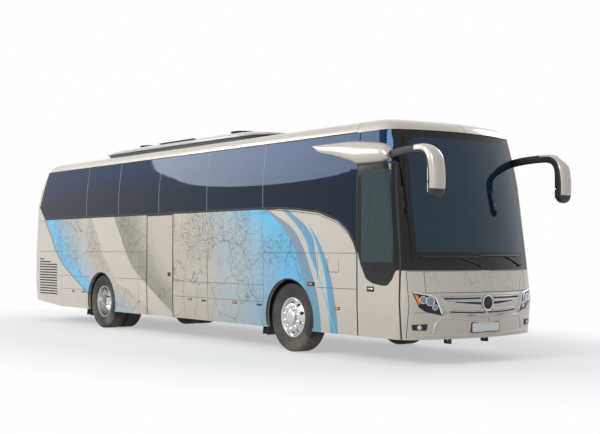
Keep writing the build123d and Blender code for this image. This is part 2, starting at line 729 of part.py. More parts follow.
def bored(ring, y_place, axle):
    """Round hand holes through a dish."""
    for index in range(hand_holes):
        turn = 2 * math.pi * (index + 0.5) / hand_holes
        across, up = hand_hole_circle * math.cos(turn), hand_hole_circle * math.sin(turn)
        hole = Pos(x_at(axle) + across, y_place, axle_height + up)
        ring = ring - hole * Rot(90, 0, 0) * Cylinder(hand_hole_radius, 130)
    return ring


def twin_profile():
    """Both rims of a twin wheel and their hub, as distances from the middle between them."""
    half = twin_spacing / 2
    outer_ring = [(radius, half - across) for radius, across in barrel + dish_out]
    outer_back = [(radius, half - across) for radius, across in dish_in]
    mirrored = [(radius, -across) for radius, across in outer_ring]
    mirrored_back = [(radius, -across) for radius, across in outer_back]
    hub_out = [(125, half - disc_offset + disc), (125, 125), (95, 150), (80, 190), (0, 190)]
    hub_in = [(0, -120), (125, -120), (125, disc_offset - disc - half)]
    between = [(150, half - disc_offset), (150, disc_offset - half)]
    return outer_back[::-1] + hub_out + hub_in + mirrored_back + mirrored + between + outer_ring[::-1]


def running_gear():
    """Axles, knuckles, rims and tyres."""
    for side in (-1, 1):
        name = "right" if side < 0 else "left"
        centre = side * front_wheel_y
        front_rim = revolved(front_rim_profile, centre, side, 0)
        keep("front_rim_" + name, bored(front_rim, centre + side * 90, 0))
        keep("front_tyre_" + name, tyre(centre, 0))
        outer_y = side * twin_outer_y
        inner_y = side * (twin_outer_y - twin_spacing)
        middle = side * (twin_outer_y - twin_spacing / 2)
        twins = revolved(twin_profile(), middle, side, rear_axle)
        keep("rear_rims_" + name, bored(bored(twins, middle + side * 80, rear_axle), middle - side * 80, rear_axle))
        keep("rear_tyres_" + name, [tyre(outer_y, rear_axle), tyre(inner_y, rear_axle)])
        pin_y = side * kingpin_y
        lug = 55
        knuckle = rod((0, side * (kingpin_y + 60), axle_height), (0, centre + side * (hub_face - bed), axle_height), 45)
        y0, y1 = sorted((side * (kingpin_y + 52), side * (kingpin_y + 80)))
        knuckle = knuckle.fuse(block(-lug, lug, y0, y1, axle_height - 110, axle_height + 110))
        y0, y1 = sorted((side * (kingpin_y - 45), side * (kingpin_y + 80)))
        knuckle = knuckle.fuse(block(-lug, lug, y0, y1, axle_height + 66, axle_height + 110))
        knuckle = knuckle.fuse(block(-lug, lug, y0, y1, axle_height - 110, axle_height - 66))
        knuckle = knuckle.fuse(rod((0, pin_y, axle_height - 120), (0, pin_y, axle_height + 120), kingpin_radius))
        keep("knuckle_" + name, knuckle)
    beam = block(-45, 45, -760, 760, axle_height - 150, axle_height - 70)
    for side in (-1, 1):
        pin_y = side * kingpin_y
        y0, y1 = sorted((side * 700, side * 770))
        beam = beam.fuse(block(-45, 45, y0, y1, axle_height - 150, axle_height + 60))
        y0, y1 = sorted((side * 740, side * kingpin_y))
        beam = beam.fuse(block(-40, 40, y0, y1, axle_height - 60, axle_height + 60))
        beam = beam.fuse(rod((0, pin_y, axle_height - 60), (0, pin_y, axle_height + 60), 45))
        beam = beam - rod((0, pin_y, axle_height - 90), (0, pin_y, axle_height + 90), kingpin_radius + 0.08)
        spring = rod((0, side * 365, axle_height - 75), (0, side * 365, front_rail_bottom - bed), air_spring)
        beam = beam.fuse(spring)
    keep("front_axle_beam", beam)
    stub = twin_outer_y - twin_spacing / 2 - 120 - bed
    axle = rod((rear_axle, -stub, axle_height), (rear_axle, stub, axle_height), 80)
    axle = axle.fuse(Pos(x_at(rear_axle), 0, axle_height) * Sphere(210))
    for side in (-1, 1):
        spring_y = side * 485
        top = rear_rail_bottom - bed
        axle = axle.fuse(rod((rear_axle, spring_y, axle_height), (rear_axle, spring_y, top), air_spring))
    keep("rear_axle_housing", axle)


def cabin():
    """Seats, racks, dashboard and the driver's place."""
    def seat(x, y, base):
        profile = [(x - 20, base + 330), (x + 440, base + 360), (x + 440, base + 460), (x + 110, base + 450),
                   (x - 90, base + 1130), (x - 190, base + 1130), (x - 20, base + 440)]
        face = Face(Wire.make_polygon([(x_at(px), y - 225, pz) for px, pz in profile], close=True))
        body = Solid.extrude(face, Vector(0, 450, 0))
        leg = block(x + 80, x + 360, y - 30, y + 30, base, base + 360)
        return body.fuse(leg)

    for side in (-1, 1):
        name = "right" if side < 0 else "left"
        seats = []
        for row in range(12):
            x = 350 - row * 780
            if side < 0 and middle_door_rear - 520 < x < middle_door_front + 250:
                continue
            seats += [seat(x, side * 500, deck_height), seat(x, side * 960, deck_height)]
        keep("passenger_seats_" + name, seats)
    racks = []
    for side in (-1, 1):
        y0, y1 = sorted((side * 760, side * half_width))
        racks.append(block(-8500, 1200, y0, y1, 2790, 2830) & floor_edge)
    keep("luggage_racks", racks)
    keep("driver_seat", seat(1500, 620, cab_floor_height))
    dash = block(2250, 2480, -420, 1050, cab_floor_height + bed, 1330)
    keep("dashboard", dash & floor_edge)
    wheel = Pos(x_at(2130), 620, 1500) * Rot(0, -25, 0) * Torus(235, 16)
    hub = Pos(x_at(2130), 620, 1500) * Rot(0, -25, 0) * Cylinder(60, 30)
    spokes = Pos(x_at(2130), 620, 1500) * Rot(0, -25, 0) * Box(40, 460, 16)
    column = rod((2135, 620, 1490), (2300, 620, 1200), 30) - block(2250 - bed, 2700, 500, 700, 900, 1700)
    keep("steering_wheel", wheel.fuse(hub).fuse(spokes).fuse(column))


def screen_x(y, z):
    """Place of the front surface from the front axle, inside its rounded corners."""
    return section_at(z, 2) - front_bow + math.sqrt(front_bow ** 2 - y ** 2)


def wiper(pivot_y, tip_y, height):
    """A blade laid along the foot of the windscreen and the arm that carries it."""
    steps = 5
    places = [tip_y + (pivot_y - tip_y) * i / steps for i in range(steps + 1)]
    line = [(screen_x(y, height + 8) + 22, y, height) for y in places]
    blade = rod(line[0], line[1], 9)
    for start, end in zip(line[1:], line[2:]):
        blade = blade.fuse(rod(start, end, 9)).fuse(Pos(x_at(start[0]), start[1], start[2]) * Sphere(9))
    post = (screen_x(pivot_y, 1320) - 2, pivot_y, 1320)
    head = (screen_x(pivot_y, 1320) + 30, pivot_y, 1320)
    middle = line[3]
    arm = rod(post, head, 20).fuse(rod((head[0] - 10, pivot_y, 1320), middle, 10))
    return blade.fuse(arm)


def outside_fittings():
    """Roof unit, wipers, mirrors and their fairings."""
    keep("wipers", [wiper(-60, -1010, 1436) - outer, wiper(860, -80, 1452) - outer])
    side_view = [(pod_rear, 3320), (pod_front, 3320), (pod_front, 3400), (pod_front - 120, 3490),
                 (pod_front - 480, pod_top + 20), (pod_rear + 520, pod_top + 20), (pod_rear + 120, 3480), (pod_rear, 3400)]
    prism = side_prism(side_view, -1).fuse(side_prism(side_view, 1))
    x = x_at(pod_rear - 50)
    edges = [
        Edge.make_line((x, -pod_half, 3300), (x, pod_half, 3300)),
        Edge.make_line((x, pod_half, 3300), (x, pod_half - 12, pod_edge)),
        Edge.make_three_point_arc((x, pod_half - 12, pod_edge), (x, 0, pod_top), (x, 12 - pod_half, pod_edge)),
        Edge.make_line((x, 12 - pod_half, pod_edge), (x, -pod_half, 3300)),
    ]
    across = Solid.extrude(Face(Wire(edges)), Vector(pod_front - pod_rear + 100, 0, 0))
    keep("roof_unit", (prism & across) - outer)

    fairing = [(500, 3050), (640, 2960), (1050, 2860), (1400, 2770), (1560, 2722), (1900, 2716), (2210, 2742),
               (2225, 2850), (2150, 2950), (1780, 3020), (1240, 3060)]
    arm = [(2120, 2770), (2240, 2760), (2780, 2800), (2960, 2790), (3010, 2730), (3110, 2740), (3080, 2850),
           (2990, 2900), (2700, 2905), (2400, 2895), (2120, 2880)]
    head = [(3000, 2770), (3130, 2790), (3190, 2700), (3200, 2260), (3160, 2190), (3060, 2180), (3020, 2240)]
    fairings, mirrors = [], []
    for side in (-1, 1):
        fairings.append(side_prism(fairing, side) & (block(0, 3000, -1330, 1330, 2600, 3200)) - outer)
        y0, y1 = sorted((side * 1235, side * 1300))
        arm_solid = side_prism(arm, side) & block(2000, 3300, y0, y1, 2000, 3000)
        y0, y1 = sorted((side * 1130, side * 1370))
        head_solid = side_prism(head, side) & block(2000, 3300, y0, y1, 2000, 3000)
        mirrors.append((arm_solid.fuse(head_solid) - side_prism(fairing, side)) - outer)
    keep("mirror_fairings", fairings)
    keep("mirrors", mirrors)


sides = [side_panels(side) for side in (-1, 1)]
keep("waist_panels", sides[0][0] + sides[1][0])
keep("skirt_panels", sides[0][1] + sides[1][1])
glazed = [side_glass(side) for side in (-1, 1)]
keep("window_pillars", glazed[0][0] + glazed[1][0])
keep("side_glass", glazed[0][1] + glazed[1][1])
roof_and_ends()
doors_and_flaps()
keep("front_door_arm", door_arm(door_post_x, -1, front_arm_heights, cab_floor_height + foot_gap, 1650))
keep("middle_door_arm", door_arm(middle_post_x, 1, middle_arm_heights, first_step + foot_gap, 1310))
floors()
underframe()
running_gear()
cabin()
outside_fittings()

if __name__ == "__main__":
    os.makedirs("parts", exist_ok=True)
    for name, solids in parts.items():
        shape = solids[0] if len(solids) == 1 else Compound(children=solids)
        export_step(shape, "parts/" + name + ".step")
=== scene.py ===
"""Looks of a two-axle touring coach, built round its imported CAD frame.

Metres, X forward, Y to the left, Z up, origin on the ground below the middle.
"""

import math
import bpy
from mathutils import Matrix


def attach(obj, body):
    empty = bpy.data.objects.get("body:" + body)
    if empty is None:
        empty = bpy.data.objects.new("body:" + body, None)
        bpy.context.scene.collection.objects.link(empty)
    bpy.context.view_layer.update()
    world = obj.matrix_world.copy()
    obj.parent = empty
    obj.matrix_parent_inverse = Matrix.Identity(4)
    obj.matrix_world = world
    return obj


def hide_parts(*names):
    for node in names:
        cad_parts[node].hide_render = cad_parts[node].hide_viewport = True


bl_info = {
    "name": "Touring Coach",
    "version": (1, 0, 0),
    "blender": (4, 5, 0),
    "location": "3D View > Sidebar > Coach",
    "description": "Builds the panes, lamps, wheels, seats, trim and finishes of a touring coach",
    "category": "Object",
}

import bmesh
import bpy
import numpy as np
from bpy.props import FloatProperty, FloatVectorProperty, IntProperty, PointerProperty
from mathutils import Matrix, Vector

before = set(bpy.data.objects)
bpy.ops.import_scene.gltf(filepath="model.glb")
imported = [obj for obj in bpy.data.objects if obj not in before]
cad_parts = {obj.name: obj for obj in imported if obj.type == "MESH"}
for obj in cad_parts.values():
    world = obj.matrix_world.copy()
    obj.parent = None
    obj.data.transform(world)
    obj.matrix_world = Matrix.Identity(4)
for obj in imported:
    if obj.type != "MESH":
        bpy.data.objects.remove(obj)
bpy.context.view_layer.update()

AXLE_X = 3.140
AXLE_HEIGHT = 0.516
WHEELBASE = 6.090
# height, half width, front and rear end measured from the front axle
SECTIONS = np.array([
    (0.342, 1.255, 2.770, -9.400), (0.816, 1.273, 2.815, -9.480), (1.400, 1.275, 2.740, -9.472),
    (2.450, 1.272, 2.583, -9.390), (2.800, 1.249, 2.507, -9.270), (3.165, 1.200, 2.415, -9.010),
    (3.240, 1.175, 2.355, -8.910), (3.305, 1.110, 2.225, -8.760), (3.350, 0.905, 1.915, -8.500),
    (3.370, 0.475, 1.415, -8.100),
])
HALF, NOSE, TAIL = 1, 2, 3
FRONT_BOW, REAR_BOW = 2.950, 3.600
FRONT_CORNER, REAR_CORNER = 0.220, 0.200
SIDES = (("right", -1), ("left", 1))
PILLARS = (-6.740, -5.390, -3.870, -2.280, -0.670)


# curves


def bent(x, knots, values):
    """Monotone cubic through knots: Hermite spans whose inner slopes are harmonic means of the chords."""
    knots, values = np.asarray(knots, float), np.asarray(values, float)
    run, chord = np.diff(knots), np.diff(values) / np.diff(knots)
    slope = np.concatenate([chord[:1], np.zeros(len(knots) - 2), chord[-1:]])
    same = chord[:-1] * chord[1:] > 0
    w1, w2 = 2 * run[1:] + run[:-1], run[1:] + 2 * run[:-1]
    safe = np.where(same, chord[:-1], 1), np.where(same, chord[1:], 1)
    slope[1:-1] = np.where(same, (w1 + w2) / (w1 / safe[0] + w2 / safe[1]), 0)
    x = np.clip(x, knots[0], knots[-1])
    i = np.clip(np.searchsorted(knots, x) - 1, 0, len(run) - 1)
    t = (x - knots[i]) / run[i]
    return ((2 * t ** 3 - 3 * t ** 2 + 1) * values[i] + (t ** 3 - 2 * t ** 2 + t) * run[i] * slope[i]
            + (3 * t ** 2 - 2 * t ** 3) * values[i + 1] + (t ** 3 - t ** 2) * run[i] * slope[i + 1])


def section(z, column):
    """Half width or end of the body at a height: straight below the glass, smooth glass, smooth roof."""
    z = np.asarray(z, float)
    glass, roof = SECTIONS[2:6], SECTIONS[5:]
    value = np.interp(z, SECTIONS[:3, 0], SECTIONS[:3, column])
    value = np.where(z > 1.4, bent(z, glass[:, 0], glass[:, column]), value)
    value = np.where(z > 3.165, bent(z, roof[:, 0], roof[:, column]), value)
    return value if column == HALF else AXLE_X + value


def end_x(y, z, front=True):
    """X of the front or rear surface: a wide bow about the middle, then a corner arc to the side."""
    bow, corner = (FRONT_BOW, FRONT_CORNER) if front else (REAR_BOW, REAR_CORNER)
    sign = 1 if front else -1
    half, end = section(z, HALF), sign * section(z, NOSE if front else TAIL)
    y = np.minimum(np.abs(y), half)
    centre, corner_y = end - bow, half - corner
    corner_x = centre + np.sqrt((bow - corner) ** 2 - corner_y ** 2)
    join = bow * corner_y / (bow - corner)
    wide = centre + np.sqrt(bow ** 2 - np.minimum(y, join) ** 2)
    tight = corner_x + np.sqrt(np.maximum(corner ** 2 - np.maximum(y - corner_y, 0) ** 2, 0))
    return sign * np.where(y < join, wide, tight)


def side_y(x, z):
    """Half width of the body where X and Z are given, round the front and rear corners."""
    x, z = np.broadcast_arrays(np.asarray(x, float), np.asarray(z, float))
    low, high = np.zeros(x.shape), section(z, HALF) + 0 * x
    best = high.copy()
    outside = (x > end_x(high, z)) | (x < end_x(high, z, False))
    for _ in range(30):
        middle = (low + high) / 2
        inside = (x < end_x(middle, z)) & (x > end_x(middle, z, False))
        low, high = np.where(inside, middle, low), np.where(inside, high, middle)
    return np.where(outside, low, best)


def resampled(points, count, closed=False):
    """Evenly spaced points along a line or ring of straight runs."""
    points = np.asarray(points, float)
    if closed:
        points = np.vstack([points, points[:1]])
    gone = np.concatenate([[0], np.cumsum(np.linalg.norm(np.diff(points, axis=0), axis=1))])
    places = np.linspace(0, gone[-1], count, endpoint=not closed)
    return np.stack([np.interp(places, gone, points[:, k]) for k in range(points.shape[1])], axis=1)


def rounded(points, count, radius=0.03, closed=True):
    """A ring of points with softened corners: each point becomes the mean of its near neighbours."""
    ring = resampled(points, 720, closed)
    length = np.linalg.norm(np.diff(ring, axis=0), axis=1).sum()
    reach = max(1, int(720 * radius / length))
    kernel = np.hanning(2 * reach + 3)
    kernel /= kernel.sum()
    pad = reach + 1
    wide = np.vstack([ring[-pad:], ring, ring[:pad]]) if closed else np.pad(ring, ((pad, pad), (0, 0)),
                                                                            "edge")
    soft = np.stack([np.convolve(wide[:, k], kernel, "valid") for k in range(ring.shape[1])], axis=1)
    if not closed:
        soft[0], soft[-1] = ring[0], ring[-1]
    return resampled(soft, count, closed)


def plaque(x0, z0, x1, z1, count, radius):
    """A rounded rectangle between two corners, as a ring of points."""
    return rounded([(x0, z0), (x1, z0), (x1, z1), (x0, z1)], count, radius)


# meshes


def grid(points, wrap=(False, False)):
    """Quads over a two-parameter grid of points, closed round either way where asked."""
    index = np.arange(points.shape[0] * points.shape[1]).reshape(points.shape[:2])
    if wrap[0]:
        index = np.vstack([index, index[:1]])
    if wrap[1]:
        index = np.hstack([index, index[:, :1]])
    quads = np.stack([index[:-1, :-1], index[1:, :-1], index[1:, 1:], index[:-1, 1:]], axis=-1)
    return points.reshape(-1, 3), quads.reshape(-1, 4)


def joined(patches):
    """Several patches as one list of points and quads."""
    points, quads, start = [], [], 0
    for p, q in patches:
        points.append(p)
        quads.append(q + start)
        start += len(p)
    return np.concatenate(points), np.concatenate(quads)


def slab(outer, inner):
    """A closed sheet between two grids of one shape: both faces and the four edges."""
    edges = [np.stack([a, b]) for a, b in (
        (outer[0], inner[0]), (outer[-1], inner[-1]), (outer[:, 0], inner[:, 0]),
        (outer[:, -1], inner[:, -1]))]
    return joined([grid(outer), grid(inner)] + [grid(edge) for edge in edges])


def make(name, patches, body, material, smooth=True, angle=40, replaces=(), bevel=0.0):
    """One piece from closed patches: doubles merged, collapsed corners dropped, faces turned outwards."""
    points, quads = joined(patches if isinstance(patches, list) else [patches])
    _, first, back = np.unique(np.round(points / 2e-5).astype(np.int64), axis=0, return_index=True,
                               return_inverse=True)
    points, quads = points[first], back.ravel()[quads]
    double = quads == np.roll(quads, -1, axis=1)
    full = quads[~double.any(axis=1)]
    full = full[(full[:, 0] != full[:, 2]) & (full[:, 1] != full[:, 3])]
    part = quads[double.sum(axis=1) == 1]
    tri = part[~(part == np.roll(part, -1, axis=1))].reshape(-1, 3)
    mesh = bpy.data.meshes.new(name)
    mesh.vertices.add(len(points))
    mesh.vertices.foreach_set("co", points.astype(np.float32).ravel())
    mesh.loops.add(full.size + tri.size)
    mesh.loops.foreach_set("vertex_index", np.concatenate([full.ravel(), tri.ravel()]).astype(np.int32))
    totals = np.concatenate([np.full(len(full), 4), np.full(len(tri), 3)]).astype(np.int32)
    mesh.polygons.add(len(totals))
    mesh.polygons.foreach_set("loop_start", (np.cumsum(totals) - totals).astype(np.int32))
    mesh.update(calc_edges=True)
    mesh.validate()
    b = bmesh.new()
    b.from_mesh(mesh)
    bmesh.ops.recalc_face_normals(b, faces=b.faces)
    b.to_mesh(mesh)
    b.free()
    if smooth:
        mesh.shade_smooth()
        mesh.set_sharp_from_angle(angle=math.radians(angle))
    piece = bpy.data.objects.new(name, mesh)
    bpy.context.scene.collection.objects.link(piece)
    mesh.materials.append(material)
    if bevel:
        soft = piece.modifiers.new("edges", "BEVEL")
        soft.width, soft.segments, soft.limit_method = bevel, 2, "ANGLE"
    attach(piece, body)
    if replaces:
        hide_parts(*replaces)
    return piece


def block(centre, size, power=6.0, count=(24, 13)):
    """A rounded box: a superellipsoid, whose sines and cosines are raised to 2 / power, with closed poles."""
    u = np.linspace(0, 2 * np.pi, count[0], endpoint=False)[:, None]
    v = np.linspace(-np.pi / 2, np.pi / 2, count[1])[None, :]

    def raised(value):
        return np.sign(value) * np.abs(value) ** (2 / power)

    shape = np.stack([raised(np.cos(v)) * raised(np.cos(u)), raised(np.cos(v)) * raised(np.sin(u)),
                      raised(np.sin(v)) + 0 * u], axis=-1)
    shape[:, 0, :2] = shape[:, -1, :2] = 0
    return grid(shape * np.asarray(size) / 2 + np.asarray(centre), (True, False))


def box(low, high, soft=0.004):
    """A box with small chamfers: each level ring of eight corners, closed at top and bottom."""
    low, high = np.asarray(low, float), np.asarray(high, float)
    c = np.minimum(soft, (high - low) / 2.001)
    rings = []
    for z, inset in ((low[2], 1.0), (low[2] + c[2], 0.0), (high[2] - c[2], 0.0), (high[2], 1.0)):
        x0, x1 = low[0] + inset * c[0], high[0] - inset * c[0]
        y0, y1 = low[1] + inset * c[1], high[1] - inset * c[1]
        rings.append([(x0 + c[0], y0, z), (x1 - c[0], y0, z), (x1, y0 + c[1], z), (x1, y1 - c[1], z),
                      (x1 - c[0], y1, z), (x0 + c[0], y1, z), (x0, y1 - c[1], z), (x0, y0 + c[1], z)])
    rings = np.array(rings)
    caps = [np.repeat(rings[k].mean(axis=0)[None], 8, axis=0)[None] for k in (0, -1)]
    return grid(np.concatenate([caps[0], rings, caps[1]]), (False, True))


def turned(profile, centre, axis, count=48, ribs=None):
    """A ring or cup from (radius, along) pairs turned about an axis through centre; ribs scale the radius."""
    profile = np.asarray(profile, float)
    a = np.linspace(0, 2 * np.pi, count, endpoint=False)[:, None]
    axis = np.asarray(axis, float) / np.linalg.norm(axis)
    side = np.cross(axis, (0, 0, 1) if abs(axis[2]) < 0.9 else (1, 0, 0))
    side /= np.linalg.norm(side)
    up = np.cross(axis, side)
    r = profile[None, :, 0] + (0 if ribs is None else ribs(a, profile[None, :, 0], profile[None, :, 1]))
    return (np.asarray(centre) + (r * np.cos(a))[..., None] * side + (r * np.sin(a))[..., None] * up
            + (profile[None, :, 1] + 0 * a)[..., None] * axis)


def swept(path, across, high, side=(0, 1, 0), power=2.6, count=20):
    """A bar along a path: superellipse sections of half sizes across and high, tapered to closed ends."""
    path = np.asarray(path, float)
    tangent = np.gradient(path, axis=0)
    tangent /= np.linalg.norm(tangent, axis=1)[:, None]
    side = np.broadcast_to(np.asarray(side, float), path.shape)
    side = side - (side * tangent).sum(1)[:, None] * tangent
    side /= np.linalg.norm(side, axis=1)[:, None]
    normal = np.cross(tangent, side)
    a = np.linspace(0, 2 * np.pi, count, endpoint=False)
    c = np.sign(np.cos(a)) * np.abs(np.cos(a)) ** (2 / power)
    s = np.sign(np.sin(a)) * np.abs(np.sin(a)) ** (2 / power)
    across, high = np.broadcast_to(across, len(path)), np.broadcast_to(high, len(path))
    rings = (path[:, None] + (across[:, None] * c)[..., None] * side[:, None]
             + (high[:, None] * s)[..., None] * normal[:, None])
    first, last = np.repeat(path[:1, None], count, 1), np.repeat(path[-1:, None], count, 1)
    return grid(np.concatenate([first, rings, last]), (False, True))


def smooth_path(points, count=60):
    """A Catmull-Rom line through points, with even steps."""
    p = np.asarray(points, float)
    p = np.vstack([2 * p[0] - p[1], p, 2 * p[-1] - p[-2]])
    t = np.linspace(0, 1, 24, endpoint=False)[:, None]
    runs = [0.5 * (2 * b + (c - a) * t + (2 * a - 5 * b + 4 * c - d) * t ** 2
                   + (3 * b - a - 3 * c + d) * t ** 3)
            for a, b, c, d in zip(p, p[1:], p[2:], p[3:])]
    return resampled(np.vstack(runs + [p[-2:-1]]), count)


def on_side(xz, side, proud):
    """Points on the body side from X (from the front axle) and Z, raised by proud."""
    xz = np.asarray(xz, float)
    x = AXLE_X + xz[..., 0]
    return np.stack([x, side * (side_y(x, xz[..., 1]) + proud), xz[..., 1] + 0 * x], axis=-1)


def side_strip(path, side, width, proud, sunk=0.004, arc=4):
    """A trim strip along the side: half its width each way of a line, its face raised by 1 - |v| ** arc."""
    path = np.asarray(path, float)
    tangent = np.gradient(path, axis=0)
    tangent /= np.linalg.norm(tangent, axis=1)[:, None]
    normal = np.stack([-tangent[:, 1], tangent[:, 0]], axis=1)
    v = np.linspace(-1, 1, 9)
    flat = path[:, None] + normal[:, None] * (v * width / 2)[None, :, None]
    lift = proud * (1 - np.abs(v) ** arc)
    outer = on_side(flat, side, 0) + np.array([0, side, 0]) * lift[None, :, None]
    return slab(outer, on_side(flat, side, -sunk))


def on_front(yz, proud=0.0, front=True):
    """Points on the front or rear surface from Y and Z, raised by proud."""
    yz = np.asarray(yz, float)
    x = end_x(yz[..., 0], yz[..., 1], front)
    return np.stack([x + proud * (1 if front else -1), yz[..., 0], yz[..., 1]], axis=-1)


def front_strip(path, width, proud, front=True, sunk=0.004, arc=4, level=False):
    """A trim strip on the front or rear along Y and Z points, crowned across its width."""
    path = np.asarray(path, float)
    tangent = np.gradient(path, axis=0)
    tangent /= np.linalg.norm(tangent, axis=1)[:, None]
    normal = np.stack([0 * tangent[:, 1], 1 + 0 * tangent[:, 0]], axis=1) if level else np.stack(
        [-tangent[:, 1], tangent[:, 0]], axis=1)
    v = np.linspace(-1, 1, 9)
    width = np.broadcast_to(width, len(path))
    flat = path[:, None] + normal[:, None] * (v[None, :] * width[:, None] / 2)[..., None]
    lift = proud * (1 - np.abs(v) ** arc)
    return slab(on_front(flat, lift[None, :], front), on_front(flat, -sunk, front))


def pad_over(ring, place, proud, sunk=0.004, rings=9, arc=2.5):
    """A cushion-like dome over a closed outline: rings shrink to the middle while the face rises."""
    ring = np.asarray(ring, float)
    middle = ring.mean(axis=0)
    s = np.linspace(1, 0, rings)[:, None, None]
    flat = middle + s * (ring - middle)[None]
    lift = proud * (1 - s[..., 0] ** arc) + 0 * flat[..., 0]
    return joined([grid(place(flat, lift), (False, True)), grid(place(flat, -sunk + 0 * lift),
                                                                (False, True)),
                   grid(np.stack([place(ring, 0 * ring[:, 0]), place(ring, -sunk + 0 * ring[:, 0])]),
                        (False, True))])


# finishes


def linear(r, g, b):
    """A colour written as it looks on a screen (0 to 255), turned to light values."""
    c = np.array([r, g, b]) / 255
    return tuple(float(v) for v in np.where(c < 0.04045, c / 12.92, ((c + 0.055) / 1.055) ** 2.4)) + (1.0,)


class Wires:
    """Short calls that add and link the nodes of one tree."""

    def __init__(self, tree):
        self.tree = tree

    def put(self, socket, value):
        if isinstance(value, bpy.types.NodeSocket):
            self.tree.links.new(value, socket)
        elif value is not None:
            socket.default_value = value

    def node(self, kind, **values):
        node = self.tree.nodes.new("ShaderNode" + kind)
        for key, value in values.items():
            setattr(node, key, value)
        return node

    def math(self, operation, a, b=None, c=None, clamp=False):
        node = self.node("Math", operation=operation, use_clamp=clamp)
        for socket, value in zip(node.inputs, (a, b, c)):
            self.put(socket, value)
        return node.outputs[0]

    def mix(self, factor, a, b, kind="MIX"):
        node = self.node("Mix", data_type="RGBA", blend_type=kind)
        self.put(node.inputs[0], factor)
        self.put(node.inputs[6], a)
        self.put(node.inputs[7], b)
        return node.outputs[2]

    def span(self, value, low, high, smooth=True):
        """0 below low, 1 above high."""
        node = self.node("MapRange", interpolation_type="SMOOTHSTEP" if smooth else "LINEAR", clamp=True)
        self.put(node.inputs[0], value)
        node.inputs[1].default_value, node.inputs[2].default_value = low, high
        return node.outputs[0]

    def vector(self):
        """Object coordinates."""
        return self.node("TexCoord").outputs["Object"]

    def place(self):
        """X, Y and Z of Object coordinates, and the whole vector."""
        vector = self.vector()
        split = self.node("SeparateXYZ")
        self.put(split.inputs[0], vector)
        return split.outputs[0], split.outputs[1], split.outputs[2], vector

    def scaled(self, vector, scale):
        node = self.node("Mapping")
        self.put(node.inputs[0], vector)
        node.inputs[3].default_value = scale
        return node.outputs[0]

    def seen(self):
        """1 for rays from the camera, straight, by reflection or through glass."""
        ray = self.node("LightPath").outputs
        mirrored = self.math("MAXIMUM", ray["Is Camera Ray"], ray["Is Glossy Ray"])
        return self.math("MAXIMUM", mirrored, ray["Is Transmission Ray"])

    def noise(self, vector, scale, detail=3.0, rough=0.5):
        node = self.node("TexNoise")
        self.put(node.inputs["Vector"], vector)
        node.inputs["Scale"].default_value = scale
        node.inputs["Detail"].default_value = detail
        node.inputs["Roughness"].default_value = rough
        return node.outputs[0]

    def bump(self, height, strength=0.2, distance=0.002, normal=None):
        node = self.node("Bump")
        self.put(node.inputs["Height"], height)
        node.inputs["Strength"].default_value = strength
        node.inputs["Distance"].default_value = distance
        self.put(node.inputs["Normal"], normal)
        return node.outputs[0]


def group(name, inputs, outputs, fill):
    """A shader node group with named sockets; fill wires it and returns its output values."""
    if name in bpy.data.node_groups:
        return bpy.data.node_groups[name]
    tree = bpy.data.node_groups.new(name, "ShaderNodeTree")
    for label, kind, default in inputs:
        socket = tree.interface.new_socket(label, in_out="INPUT", socket_type="NodeSocket" + kind)
        socket.default_value = default
    for label, kind in outputs:
        tree.interface.new_socket(label, in_out="OUTPUT", socket_type="NodeSocket" + kind)
    wires = Wires(tree)
    begin, end = tree.nodes.new("NodeGroupInput"), tree.nodes.new("NodeGroupOutput")
    for socket, value in zip(end.inputs, fill(wires, begin.outputs)):
        wires.put(socket, value)
    return tree


def dusty():
    """Road dust that gathers low down and in patches, and faint colour drift."""
    def fill(w, given):
        _, _, z, vector = w.place()
        patch = w.span(w.noise(vector, 2.3, 5.0, 0.65), 0.35, 0.75)
        low = w.math("SUBTRACT", 1.0, w.math("DIVIDE", z, given["Height"]), clamp=True)
        amount = w.math("MULTIPLY", w.math("MULTIPLY", low, patch), given["Amount"], clamp=True)
        drift = w.math("MULTIPLY_ADD", w.noise(vector, 1.1, 2.0), 0.10, 0.95)
        tint = w.node("CombineColor")
        for socket in tint.inputs:
            w.put(socket, drift)
        base = w.mix(1.0, given["Color"], tint.outputs[0], "MULTIPLY")
        return [w.mix(amount, base, given["Dust"]), amount]
    return group("Road dust", [("Color", "Color", (0.5, 0.5, 0.5, 1)),
                               ("Dust", "Color", linear(150, 138, 120)),
                               ("Amount", "Float", 0.3), ("Height", "Float", 0.9)],
                 [("Color", "Color"), ("Mask", "Float")], fill)


def grain():
    """Fine and coarse grain as one height, for moulded and cast surfaces."""
    def fill(w, given):
        vector = w.vector()
        fine = w.noise(vector, 900.0, 2.0)
        scale = w.node("VectorMath", operation="SCALE")
        w.put(scale.inputs[0], vector)
        w.put(scale.inputs["Scale"], given["Scale"])
        coarse = w.noise(scale.outputs[0], 1.0, 4.0, 0.6)
        height = w.math("ADD", w.math("MULTIPLY", fine, 0.4), coarse)
        return [height, w.span(coarse, 0.35, 0.7)]
    return group("Fine grain", [("Scale", "Float", 60.0)], [("Height", "Float"), ("Mask", "Float")], fill)


def weave():
    """Cloth threads in two directions as sines of X plus Z and of Y, with a coloured fleck."""
    def fill(w, given):
        x, y, z, vector = w.place()
        across = w.math("SINE", w.math("MULTIPLY", y, 1500.0))
        along = w.math("SINE", w.math("MULTIPLY", w.math("ADD", x, z), 1500.0))
        height = w.math("MULTIPLY_ADD", w.math("MULTIPLY", across, along), 0.5, 0.5)
        fleck = w.span(w.noise(vector, 75.0, 1.0), 0.60, 0.66)
        return [w.mix(fleck, given["Color"], given["Fleck"]), height]
    return group("Cloth weave",
                 [("Color", "Color", (0.02, 0.04, 0.10, 1)), ("Fleck", "Color", (0.2, 0.3, 0.4, 1))],
                 [("Color", "Color"), ("Height", "Float")], fill)


def placed(w, tree, **values):
    """One use of a node group, with its own values."""
    node = w.node("Group")
    node.node_tree = tree
    for key, value in values.items():
        w.put(node.inputs[key.capitalize()], value)
    return node.outputs


